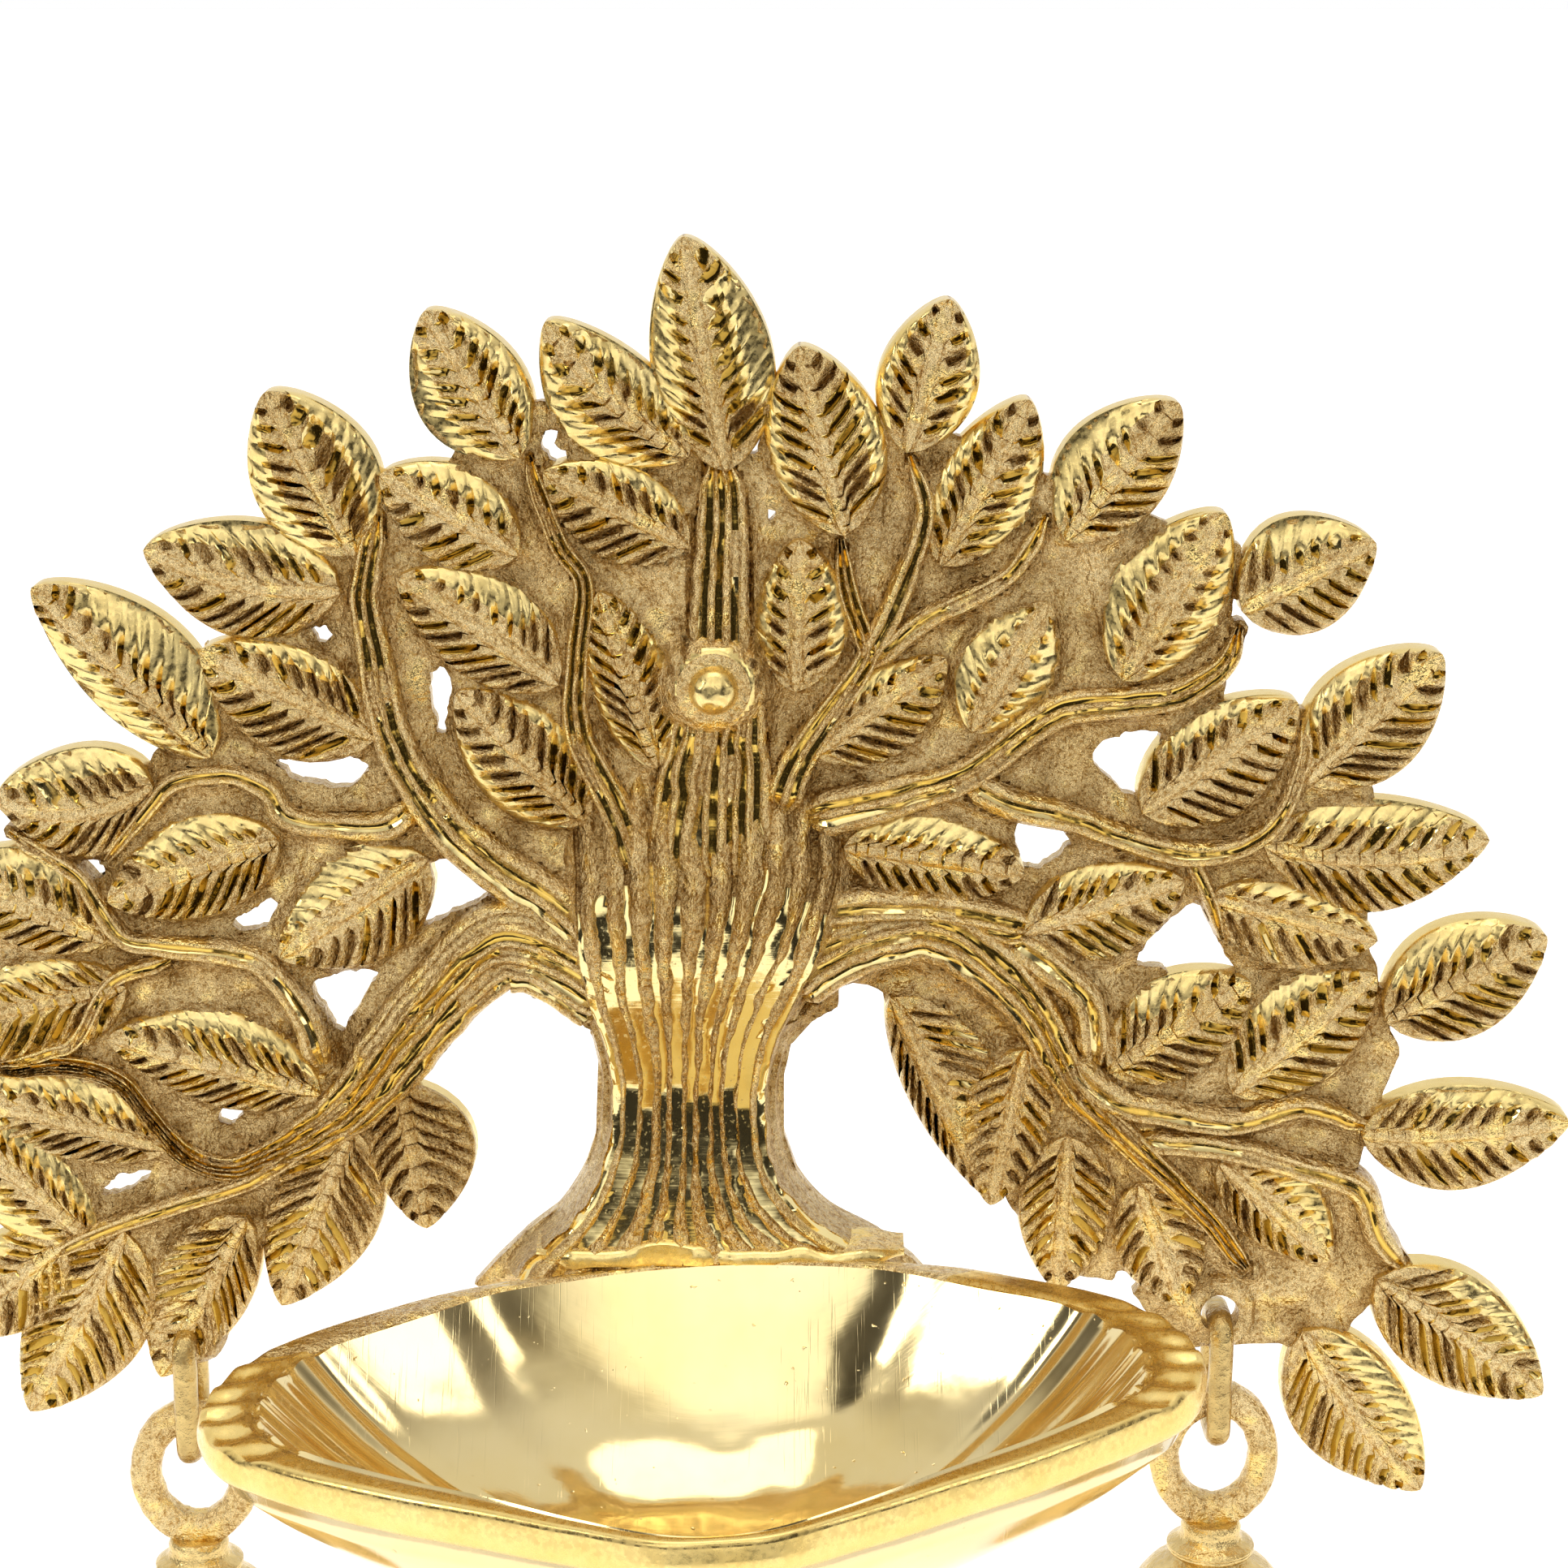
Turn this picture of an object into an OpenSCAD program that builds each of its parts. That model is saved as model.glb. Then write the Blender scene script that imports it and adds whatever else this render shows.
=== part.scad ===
// Brass wall lamp: an openwork tree-of-life plate with a projecting oil bowl and two hanging bells.
// Millimetres, +Z up, the front of the lamp faces -Y. The origin is the centre of the nail hole in the
// hanger strap. The lists below are laid out about the foot of the trunk and moved there at the end.

/* [Plate] */
// Thickness of the web between the leaves
web_t = 3; // [2.4:0.2:3.4]
// Thickness of the leaves
leaf_t = 4.6; // [4.2:0.2:5]
// Thickness of the boughs
bough_t = 6; // [5.4:0.2:6.6]
// Thickness of the trunk
trunk_t = 9.5; // [8:0.5:10]
// Height of the raised midribs and veins
vein_h = 0.8; // [0.4:0.2:1.2]
// Diameter of the holes that carry the links
link_hole_d = 5.4; // [5:0.2:6]

/* [Oil bowl] */
// Depth of the oil well below the rim
well_depth = 27; // [20:1:30]
// Thickness of metal under the well
floor_t = 3.2; // [2.4:0.2:4]
// Height of the upright band round the rim
band_h = 5.4; // [4:0.2:6]
// Depth of the shell ripples on the rim
ripple_h = 0.9; // [0.3:0.1:1.2]

/* [Links] */
// Diameter of the link wire
wire_d = 3.4; // [2.8:0.2:3.6]
// Height of a link between its bar centres
link_h = 17.2; // [16:0.2:19]
// Width of a link between its bar centres
link_w = 9.1; // [8.6:0.1:10]

/* [Bells] */
// Width of the hole in the ring on top of a bell
ring_hole_w = 9.5; // [9:0.5:10.5]
// Width of that ring
ring_w = 18.5; // [17.5:0.5:19.5]
// Thickness of that ring
ring_t = 4; // [3:0.2:4.4]
// Radius of the bell's mouth
mouth_r = 16.5; // [15.5:0.5:17.5]
// Radius of the striker ball
ball_r = 4.6; // [3.6:0.2:5]

/* [Hanger] */
// Width of the hanger strap
strap_w = 13; // [12:0.5:15]
// Thickness of the hanger strap
strap_t = 1.6; // [1.2:0.1:2]
// How far the strap's upper end stands back from the plate
joggle = 3; // [2.6:0.1:3.6]
// Radius of the nail hole
nail_r = 3; // [2:0.25:3.5]

/* [Part] */
// Which piece to draw

/* [Hidden] */
$fn = 48;
brass = "#d8b04a";
dull_brass = "#a98a4c";
steel = "#9a9a98";

// Centre of the nail hole, from the middle of the trunk's foot on the plate's back face
hang_x = 1.2;
hang_z = 98;
hang_y = joggle + strap_t / 2;
// The back face of the strap bends a little higher than its front face
bend_shift = 0.6;
rivet_z = 79.5;
seat_margin = 2.5;

// Each leaf: stalk x and z, tip x and z, half width on its left and right, sideways bend of the midrib
leaf_table = [
    [-66, 69.5, -89, 92.5, 5.5, 8.8, 0],
    [-48, 92, -74, 97.5, 7, 8, 1.8],
    [-46, 97, -57, 118.5, 8, 8, 0],
    [-24, 110, -36, 129, 8, 6, 0],
    [-2, 110, -20.5, 127.5, 7.5, 6.2, 1.7],
    [3, 108, -2.5, 138.5, 6.8, 8.2, 0],
    [-24.5, 97, -42.5, 107.5, 6.5, 6.3, 0],
    [-19.5, 79.5, -40.5, 94, 6, 7.7, 0],
    [-2, 98, -21, 108, 6.7, 6, 0],
    [-44, 72, -67, 84, 8, 6.5, 0],
    [-74, 65.5, -95.5, 63.5, 6, 8.5, 3],
    [-16, 60.5, -33, 78.5, 7, 6.5, 0],
    [-6.5, 68, -14, 92, 5, 6, 0],
    [-57.5, 58, -81, 49.5, 6.7, 7.1, 0],
    [-37.5, 55.5, -58, 41.5, 7.9, 6.9, 0],
    [-81.5, 44, -104, 53, 5, 8, 0],
    [-79, 37.5, -106.5, 31.5, 8, 6, 0],
    [-53, 22, -82, 30, 5.5, 7.5, 0],
    [-74.5, 14, -104, 22, 5, 6.5, 0],
    [-85, -0.5, -106, 20.5, 7, 6, 0],
    [-89.5, 0, -107, -13, 7, 6, 0],
    [-81, 2, -95.5, -25, 9.2, 6.8, 0],
    [-64, 4, -77, -20, 5.6, 7.5, 0],
    [-49, 17, -59.5, -9, 8, 6.8, 0],
    [-42, 23, -39, 2.5, 8, 5.7, 0],
    [18.5, 99.5, 12.5, 124.5, 7.1, 7.7, 0],
    [26.5, 110.5, 32, 130.5, 5.8, 6.4, 0],
    [31, 95.5, 42.5, 117.5, 5.5, 7, 0],
    [47.5, 99, 62, 117, 7.5, 6.3, 0],
    [55.5, 80, 68.5, 102.5, 8, 7, 0],
    [71, 89.5, 88.5, 98.5, 8, 7, 0],
    [80.5, 66, 98, 83.5, 7.5, 7.7, 0],
    [58.5, 62, 79, 77, 6.3, 8, 0],
    [35.5, 73, 45.5, 90.5, 6.5, 6.5, 0],
    [12, 78.5, 12.5, 99, 5.5, 7, 0],
    [14.5, 70, 32, 83, 4.5, 7, 0],
    [18.5, 57, 43, 53.5, 6, 6.3, 0],
    [43, 45, 64.5, 52.5, 6, 7.7, 0],
    [68, 50, 91, 44, 4.5, 7.4, 0],
    [75, 57.5, 105.5, 58, 7.8, 7.2, -2.5],
    [92.5, 32.5, 114, 44.5, 7.5, 8, 0],
    [55, 25, 74, 38, 7, 7, 0],
    [72, 22, 91, 39, 7.5, 7, 0],
    [90, 16, 118.5, 18, 6.5, 8, -1],
    [70.5, 12, 86.5, -2.5, 7, 5, 0],
    [93, -5, 117, -22.5, 7.5, 7.5, 0],
    [83, -13, 100.5, -37, 7.5, 8, -1],
    [25, 36, 38.5, 7, 9, 3.5, 0],
    [43.5, 28.5, 39, 6, 6, 6, 0],
    [49.5, 16, 48.5, -7, 7, 5.5, 0],
    [59.5, 9, 66, -9, 6.5, 6, 0]
];
// How much fuller a cast leaf is than its drawn half widths
leaf_swell = 0.5;
leaf_points = 6;
// Midrib: parts of the leaf's length where it starts, is last full and ends, and its half width
rib_from = 0.04;
rib_middle = 0.5;
rib_to = 0.9;
rib_half = 0.6;
// Side veins: where each leaves the midrib, how far out it goes, its lean, width at the midrib and end
vein_places = [0.18, 0.38, 0.58];
vein_reach = 0.72;
vein_lean = 0.15;
vein_root = 0.07;
vein_end = 0.02;
stalk_r = 1.4;

// Boughs as lists of x, z and width along the middle of each
bough_table = [
    // low left bough
    [[-12, 36, 13], [-20, 41, 13], [-28, 43, 13], [-35, 37, 11], [-42, 29, 11], [-47, 22, 9],
     [-53, 17, 7], [-60, 13, 5], [-66, 11, 4], [-72, 13, 3.5], [-77, 19, 3], [-81, 24, 3],
     [-88, 26, 3], [-97, 25, 2.5]],
    // its lower branch
    [[-49, 20, 3.5], [-62, 10, 3], [-73, 6, 3], [-84, 2, 3], [-92, -2, 2.5]],
    // its rising branch
    [[-53, 26, 5], [-55, 33, 4.5], [-60, 40, 4], [-65, 42, 4], [-74, 43, 3.5], [-79, 44, 3],
     [-82, 48, 3], [-85, 53, 2.5], [-91, 57, 2.5], [-94, 59, 2]],
    // twig to the far left leaves
    [[-73, 41, 3], [-81, 38, 2.5], [-86, 30, 2.5], [-90, 28, 2.5], [-97, 26, 2]],
    // upper left bough
    [[-12, 40, 8], [-21, 49, 8], [-27, 53, 7.5], [-33, 58, 7], [-37, 63, 6.5], [-41, 70, 6],
     [-43, 77, 5.5], [-44, 84, 5], [-45, 91, 4.5], [-44, 97, 4], [-43, 102, 3]],
    // its side branch
    [[-39, 63, 5], [-43, 60, 4.5], [-50, 60, 4], [-56, 61, 4], [-59, 65, 3.5], [-64, 67, 3],
     [-71, 66, 3], [-75, 62, 2.5], [-81, 55, 2]],
    // left crown branch
    [[-9, 53, 6], [-12, 62, 5], [-17, 73, 4], [-17, 83, 3.5], [-16, 93, 3], [-19, 98, 3],
     [-22, 106, 2.5], [-23, 110, 2]],
    // low right bough
    [[11, 37, 9], [16, 41, 9], [23, 44, 9], [30, 45, 9], [35, 43, 9], [41, 38, 8], [45, 33, 7],
     [48, 27, 6], [51, 22, 5], [58, 15, 4.5], [69, 4, 3.5], [75, -4, 3]],
    // right crown branch
    [[10, 62, 6], [13, 70, 5], [21, 82, 3.5], [21, 86, 3], [19, 92, 3], [18, 99, 2]],
    // its middle twig
    [[21, 82, 3.5], [25, 90, 4], [29, 102, 3], [27, 110, 2]],
    // its outer twig
    [[22, 82, 3.5], [29, 88, 3.5], [35, 91, 3.5], [40, 94, 3], [43, 98, 3], [45, 102, 2]],
    // upper right bough
    [[14, 61, 7], [26, 64, 6], [35, 67, 5], [43, 73, 5], [48, 76, 5], [56, 77, 4.5],
     [63, 78, 4.5], [69, 82, 3.5], [71, 87, 2.5]],
    // middle right bough
    [[35, 66, 5], [41, 63, 5], [49, 61, 4.5], [57, 58, 4], [65, 56, 4], [72, 57, 3.5],
     [77, 61, 3], [80, 69, 2.5], [80, 75, 2]],
    // its hanging twig
    [[65, 56, 3], [68, 50, 2.5], [70, 44, 2]],
    // right fan branch
    [[49, 27, 5], [56, 21, 5], [64, 19, 4.5], [69, 18, 4.5], [74, 18, 4], [82, 20, 3.5],
     [91, 17, 3]],
    // right hanging branch
    [[41, 44, 5], [49, 38, 5.5], [52, 34, 5.5], [53, 26, 5]],
    // lowest right branch
    [[60, 15, 4], [71, 14, 4], [82, 11, 4], [90, 8, 4], [93, 1, 4], [97, -4, 3]],
    // short right bough
    [[14, 47, 8], [25, 48, 7], [36, 47, 6], [45, 45, 5]],
    // broken trunk top
    [[1, 45, 20], [1, 62, 19], [2, 79, 13], [2, 91, 10], [2, 104, 9]]
];

// Holes right through the canopy
void_table = [
    [[-53, 86.5], [-51, 87], [-49.5, 85.5], [-50.5, 84.5]],
    [[-57.5, 68.5], [-54.5, 69.5], [-50.5, 69], [-46.5, 69], [-45.5, 67.5], [-47, 65.5],
     [-50.5, 65], [-55, 66]],
    [[-37, 81], [-35, 81.5], [-34, 79.5], [-34.5, 75.5], [-35, 72.5], [-36, 73], [-36.5, 77.5]],
    [[-21, 113], [-19.5, 113], [-19, 111], [-18, 109.5], [-20.5, 109], [-21, 110.5]],
    [[7, 115.5], [6, 115.5], [5.5, 113], [5.5, 110], [7, 109], [7.5, 112]],
    [[8.5, 103], [9.5, 102.5], [9, 101], [8, 101.5]],
    [[-85, 54.5], [-81.5, 54.5], [-82, 52.5], [-83, 52]],
    [[-64.5, 46], [-59.5, 49.5], [-58.5, 48.5], [-60, 45], [-63.5, 45]],
    [[-37.5, 54], [-35, 55.5], [-30.5, 53.5], [-27, 50.5], [-31, 49.5], [-35.5, 46.5],
     [-38.5, 45.5], [-38.5, 49.5]],
    [[-54, 37.5], [-49.5, 39], [-45, 39], [-47.5, 34.5], [-50, 30.5], [-51.5, 30.5],
     [-52.5, 34]],
    [[-67.5, 19], [-65, 20.5], [-64, 19], [-65.5, 17], [-67.5, 17.5]],
    [[-84, 7.5], [-81.5, 9.5], [-77, 10.5], [-77.5, 9], [-81.5, 7], [-84, 6.5]],
    [[51, 70], [56, 72], [61, 72.5], [60.5, 69], [59, 63.5], [56.5, 64], [53.5, 67]],
    [[41, 59], [43, 60.5], [46.5, 60], [50, 57.5], [47, 55], [45, 53.5], [43, 54], [42, 56]],
    [[58, 40], [61.5, 45], [65.5, 49], [67, 48.5], [69, 45], [72, 38.5], [65, 38.5]],
    [[55.5, -7], [57, -4.5], [59.5, -5.5], [60, -7], [58.5, -8.5]],
    [[-65, 83.5], [-65.5, 85], [-67.5, 85], [-69.5, 88.5], [-68, 90], [-65.5, 86.5],
     [-65.5, 84]]
];

// The trunk, from its left root over the fork to its right root
trunk_outline = [[-29.5, -3], [-25, 1.5], [-20.5, 5], [-17.5, 9.5], [-15.5, 15.5], [-15, 27.5],
                 [-16.5, 31.5], [-20, 34.5], [-20, 44], [-11, 62], [11, 62], [18, 46], [18, 34],
                 [14.5, 32], [11.5, 28.5], [10.5, 24], [10.5, 15.5], [12.5, 9.5], [16.5, 4.5],
                 [23.5, 1], [28.5, -3]];
// The web that fills the canopy between the leaves
canopy_outline = [[-92, 0], [-79, -13], [-62, -1], [-45, 6], [-42, 25], [-35, 35], [-24, 39], [-14, 33],
                  [-13, 27], [9, 27], [13, 33], [20, 38], [24, 36], [27, 26], [34, 16], [40, 8], [47, -4],
                  [58, -7], [66, -16], [88, -16], [97, -3], [90, 10], [95, 27], [90, 44], [90, 65],
                  [80, 76], [69, 77], [71, 98], [60, 101], [44, 108], [35, 112], [22, 116], [8, 117],
                  [-8, 118], [-22, 117], [-36, 108], [-40, 106], [-56, 98], [-62, 84], [-75, 68],
                  [-90, 56], [-98, 45], [-100, 28], [-98, 12], [-98, 4]];
// Places of the grooves on the trunk: x at the foot, x at the waist, x at the fork
groove_table = [[-20, -11.5, -14], [-15.5, -8.8, -10.5], [-11, -6, -7], [-6.5, -3.2, -3.5],
                [-2, -0.5, 0], [3, 2.2, 3.5], [8, 4.8, 7], [13, 7.4, 10.5]];
groove_w = 0.9;
waist_z = 17;
fork_z = 58;
// Each higher step of the casting sits this much further inside, for its rounded edges
round_in = 0.4;
fillet = 1.2;

// Tongue below the trunk that carries the bowl
tongue_w = 44;
tongue_t = 5;
tongue_top = 1;
tongue_foot = -24;
tongue_block_h = 19.5;
screw_x = 9;
screw_z = -12;
screw_r = 2;
screw_clear = 0.3;
screw_length = 11.5;
head_r = 3.6;
head_h = 2.2;
head_taper = 0.5;
slot_w = 0.8;
slot_depth = 1.1;
washer_r = 4.4;
washer_t = 0.8;

// Link holes
left_hole = [-73.1, -13.4];
right_hole = [71.4, -10.7];
pad_r = 5.6;
pad_t = 4;
pad_y = -pad_t / 2;
play = 0.3;
bar_drop = link_hole_d / 2 - wire_d / 2 - play;
link_corner = 2.6;

// Bowl: each row is outer rim x and y, then inner rim x and y, from the back middle to the front tip
rim_table = [[0, -10, 0, -12.5], [28, -14, 24, -17], [44, -21.5, 36, -24.5], [56, -31, 47, -32],
             [61, -38, 52, -37], [63, -46, 55, -45], [63, -52, 55.5, -52], [60, -60, 53.5, -58],
             [54, -66, 48.5, -64], [45, -72.5, 41, -70], [32, -80, 29, -77.5], [18, -87.5, 16.5, -85.5],
             [8, -92.5, 7.5, -90.5], [0, -93.5, 0, -92]];
bowl_centre = [0, -46];
bowl_x = -2.5;
bowl_yaw = 3.5;
bowl_roll = -2;
// The underside starts this far inside the rim, whose mean radius is rim_reach
undercut = 1.5;
rim_reach = 60;
ripple_from = 3;
ripple_to = 8;
ripples = 6;
ripple_steps = 6;
plain_steps = 2;
boss_w = 36;
boss_top = -7.5;
boss_foot = -20;
boss_depth = 10;
// The screw holes in the boss end this far past the screw tips
tip_gap = 0.6;

// Bell: radius and depth below the ring's centre, outside then inside
ring_stretch = 1.25;
rim_stretch = 1.95;
bell_outside = [[4.2, -10], [4.2, -12.5], [6.2, -13.6], [6.2, -14.6], [5, -15.4], [8.6, -17.4],
                [10.6, -20], [11.2, -22.6], [13.5, -24.4], [13.5, -26], [12, -27.2], [12.6, -32],
                [13.6, -37], [15, -41], [mouth_r, -44], [mouth_r, -46]];
bell_inside = [[mouth_r - 1.8, -46], [12.6, -40.5], [11, -34], [10.2, -27], [9, -23], [6.6, -20], [0, -18.6]];
pin_r = 0.9;
pin_z = -22.2;
pin_length = 18.6;
rod_r = 0.75;
eye_r = 2.1;
rod_length = 17.6;
hole_gap = 0.05;

// Hanger
strap_top = 105;
strap_foot = 72.5;
bend_from = 85.5;
bend_to = 91;
rivet_r = 2.1;
rivet_head_r = 3.1;
rivet_flange_r = 5;
rivet_tail_r = 3.3;
rivet_seat_t = 8;

far = 400;
eps = 0.01;

// Everything is drawn about the trunk's foot; this moves it to the nail hole
module placed() {
    translate([-hang_x, -hang_y, -hang_z])
        children();
}

// Extrudes an outline drawn in x and z, from depth y0 to depth y1
module slab(y0, y1) {
    translate([0, y1, 0])
        rotate([90, 0, 0])
            linear_extrude(y1 - y0)
                children();
}

// Half width of a leaf at part t of its length, as part of its widest
function leaf_swing(t) = pow(sin(180 * pow(t, 0.85)), 0.7);

// A point on a leaf: part t along the midrib, offset w sideways
function leaf_point(leaf, t, w) =
    let (dx = leaf[2] - leaf[0], dz = leaf[3] - leaf[1], span = norm([dx, dz]),
         side = w + leaf[6] * 4 * t * (1 - t))
    [leaf[0] + dx * t - dz / span * side, leaf[1] + dz * t + dx / span * side];

function leaf_edge(leaf) = concat(
    [leaf_point(leaf, -0.08, -stalk_r), leaf_point(leaf, -0.08, stalk_r)],
    [for (i = [1:leaf_points])
        let (t = i / (leaf_points + 1))
        leaf_point(leaf, t, (leaf[4] + leaf_swell) * leaf_swing(t))],
    [leaf_point(leaf, 1.02, 0)],
    [for (i = [leaf_points:-1:1])
        let (t = i / (leaf_points + 1))
        leaf_point(leaf, t, -(leaf[5] + leaf_swell) * leaf_swing(t))]);

// Left or right edge of a bough, one point for each station
function bough_side(path, sign) = [
    for (i = [0:len(path) - 1])
        let (a = path[max(i - 1, 0)], b = path[min(i + 1, len(path) - 1)],
             d = [b[0] - a[0], b[1] - a[1]] / norm([b[0] - a[0], b[1] - a[1]]))
        [path[i][0] - sign * d[1] * path[i][2] / 2, path[i][1] + sign * d[0] * path[i][2] / 2]];

function reversed(list) = [for (i = [len(list) - 1:-1:0]) list[i]];

module leaves() {
    for (leaf = leaf_table)
        polygon(leaf_edge(leaf));
}

module boughs() {
    for (path = bough_table)
        polygon(concat(bough_side(path, 1), reversed(bough_side(path, -1))));
}

// Raised strand along the middle of each bough
module bough_strands() {
    for (path = bough_table) {
        strand = [for (p = path) [p[0], p[1], p[2] * 0.3]];
        polygon(concat(bough_side(strand, 1), reversed(bough_side(strand, -1))));
    }
}

// Midrib and side veins of each leaf
module veins() {
    for (leaf = leaf_table) {
        polygon([leaf_point(leaf, rib_from, -rib_half), leaf_point(leaf, rib_middle, -rib_half),
                 leaf_point(leaf, rib_to, 0), leaf_point(leaf, rib_middle, rib_half),
                 leaf_point(leaf, rib_from, rib_half)]);
        for (t = vein_places)
            for (side = [leaf[4], -leaf[5]]) {
                reach = side * vein_reach * leaf_swing(t + vein_lean);
                polygon([leaf_point(leaf, t, 0), leaf_point(leaf, t + vein_root, 0),
                         leaf_point(leaf, t + vein_lean + vein_end, reach),
                         leaf_point(leaf, t + vein_lean - vein_end, reach)]);
            }
    }
}

module voids() {
    for (outline = void_table)
        polygon(outline);
}

// Whole silhouette of the casting with softened inside corners
module silhouette() {
    difference() {
        offset(delta = -fillet, $fn = 16)
            offset(r = fillet, $fn = 16) {
                leaves();
                boughs();
                polygon(trunk_outline);
                polygon(canopy_outline);
                tongue();
                link_pads(pad_r);
            }
        voids();
    }
}

module link_pads(r) {
    for (hole = [left_hole, right_hole])
        translate(hole)
            circle(r);
}

module tongue() {
    translate([-tongue_w / 2, tongue_foot])
        square([tongue_w, tongue_top - tongue_foot]);
}

module rivet_seat() {
    translate([hang_x, rivet_z])
        circle(rivet_flange_r + seat_margin);
}

// Outline of one raised step: its children, clear of the voids and of the link pads
module step_outline(steps) {
    offset(delta = -steps * round_in)
        difference() {
            union()
                children();
            voids();
            link_pads(pad_r);
        }
}

// The casting rises in steps that each stand well inside the step below: leaves, veins, boughs, trunk
module relief() {
    slab(-leaf_t, -web_t / 2)
        step_outline(1) {
            leaves();
            boughs();
            polygon(trunk_outline);
            rivet_seat();
        }
    slab(-leaf_t - vein_h, -web_t) {
        difference() {
            veins();
            offset(delta = 2 * round_in)
                voids();
            link_pads(pad_r + 2 * round_in);
        }
        step_outline(1.5) {
            boughs();
            polygon(trunk_outline);
            rivet_seat();
        }
    }
    slab(-bough_t, -leaf_t)
        step_outline(2) {
            boughs();
            polygon(trunk_outline);
            rivet_seat();
        }
    slab(-bough_t - vein_h, -leaf_t) {
        difference() {
            bough_strands();
            offset(delta = 3 * round_in)
                voids();
        }
        step_outline(2.5) {
            polygon(trunk_outline);
            rivet_seat();
        }
    }
    slab(-rivet_seat_t, -bough_t)
        step_outline(3) {
            polygon(trunk_outline);
            rivet_seat();
        }
    slab(-trunk_t, -bough_t)
        difference() {
            step_outline(3.5)
                polygon(trunk_outline);
            trunk_grooves();
        }
}

module trunk_grooves() {
    for (g = groove_table)
        polygon([[g[0], 1], [g[0] + groove_w, 1], [g[1] + groove_w, waist_z], [g[2] + groove_w, fork_z],
                 [g[2], fork_z], [g[1], waist_z]]);
}

// Straight bore through the plate
module plate_bore(x, z, r) {
    translate([x, far / 2, z])
        rotate([90, 0, 0])
            cylinder(r = r, h = far);
}

module tree_plate() {
    color(brass)
        placed()
            difference() {
                union() {
                    slab(-web_t, 0)
                        silhouette();
                    relief();
                    slab(-pad_t, -web_t / 2)
                        link_pads(pad_r - round_in);
                    slab(-tongue_t, -web_t / 2)
                        translate([-tongue_w / 2 + round_in, tongue_foot + round_in])
                            square([tongue_w - 2 * round_in, tongue_block_h]);
                }
                for (hole = [left_hole, right_hole])
                    plate_bore(hole[0], hole[1], link_hole_d / 2);
                plate_bore(hang_x, rivet_z, rivet_r + hole_gap);
                for (side = [-1, 1])
                    plate_bore(side * screw_x, screw_z, screw_r + screw_clear);
            }
}

// Both halves of the rim, round from the back middle
rim_loop = concat(rim_table, [for (i = [len(rim_table) - 2:-1:1])
    [-rim_table[i][0], rim_table[i][1], -rim_table[i][2], rim_table[i][3]]]);
rim_count = len(rim_loop);

// Smooth curve through four stations, part t of the way from the second to the third
function smooth(a, b, c, d, t) =
    b + 0.5 * t * (c - a + t * (2 * a - 5 * b + 4 * c - d + t * (3 * (b - c) + d - a)));

// True where station i carries shell ripples
function rippled(i) = let (k = i < len(rim_table) ? i : rim_count - i) k >= ripple_from && k <= ripple_to;
function on_ripple(i) = rippled(i) && rippled((i + 1) % rim_count);
function steps_at(i) = on_ripple(i) ? ripple_steps : plain_steps;

// The rim as a fine loop: outer x and y, inner x and y, ripple depth
rim_fine = [for (i = [0:rim_count - 1])
    for (j = [0:steps_at(i) - 1])
        let (t = j / steps_at(i),
             p = smooth(rim_loop[(i + rim_count - 1) % rim_count], rim_loop[i],
                        rim_loop[(i + 1) % rim_count], rim_loop[(i + 2) % rim_count], t),
             k = i < len(rim_table) - 1 ? i + t : rim_count - i - t,
             turn = (k - ripple_from) / (ripple_to - ripple_from) * ripples,
             dip = on_ripple(i) ? (0.5 - 0.5 * cos(360 * turn)) : 0)
        [p[0], p[1], p[2], p[3], dip]];
fine_count = len(rim_fine);

// Rings of the bowl's skin, from the middle of the well over the rim to the middle of the underside.
// Each ring: blend from inner (0) to outer (1) rim, part of the way out from the centre, height, ripple
inner_parts = [0.12, 0.3, 0.48, 0.64, 0.78, 0.9, 0.97];
outer_parts = [0.94, 0.86, 0.74, 0.6, 0.42, 0.22];
function well_z(s) = -well_depth * (1 - pow(s, 2.6));
function under_z(s) = -band_h - (well_depth + floor_t - band_h) * (1 - pow(s, 2.4));
rings = concat(
    [for (s = inner_parts) [0, s, well_z(s), 0]],
    [[0, 1, 0, 0], [0.12, 1, -0.5, 0], [0.24, 1, 0, 0], [0.6, 1, -0.2, 1], [0.94, 1, -0.2, 1],
     [1, 1, -0.9, 0.6], [1, 1, -band_h, 0], [1, 1 - undercut / rim_reach, -band_h - 0.1, 0]],
    [for (s = outer_parts) [1, s, under_z(s), 0]]);

function ring_point(ring, p) =
    let (x = p[2] + (p[0] - p[2]) * ring[0], y = p[3] + (p[1] - p[3]) * ring[0])
    [bowl_centre[0] + (x - bowl_centre[0]) * ring[1], bowl_centre[1] + (y - bowl_centre[1]) * ring[1],
     ring[2] - ring[3] * ripple_h * p[4]];

module bowl_skin() {
    ring_count = len(rings);
    grid = [for (ring = rings) for (p = rim_fine) ring_point(ring, p)];
    ends = [[bowl_centre[0], bowl_centre[1], -well_depth],
            [bowl_centre[0], bowl_centre[1], -well_depth - floor_t]];
    top = ring_count * fine_count;
    polyhedron(points = concat(grid, ends), faces = concat(
        [for (r = [0:ring_count - 2])
            for (i = [0:fine_count - 1])
                let (n = (i + 1) % fine_count, a = r * fine_count, b = a + fine_count)
                each [[a + i, b + i, a + n], [a + n, b + i, b + n]]],
        [for (i = [0:fine_count - 1]) [top, i, (i + 1) % fine_count]],
        [for (i = [0:fine_count - 1])
            let (a = (ring_count - 1) * fine_count)
            [top + 1, a + (i + 1) % fine_count, a + i]]));
}

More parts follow.
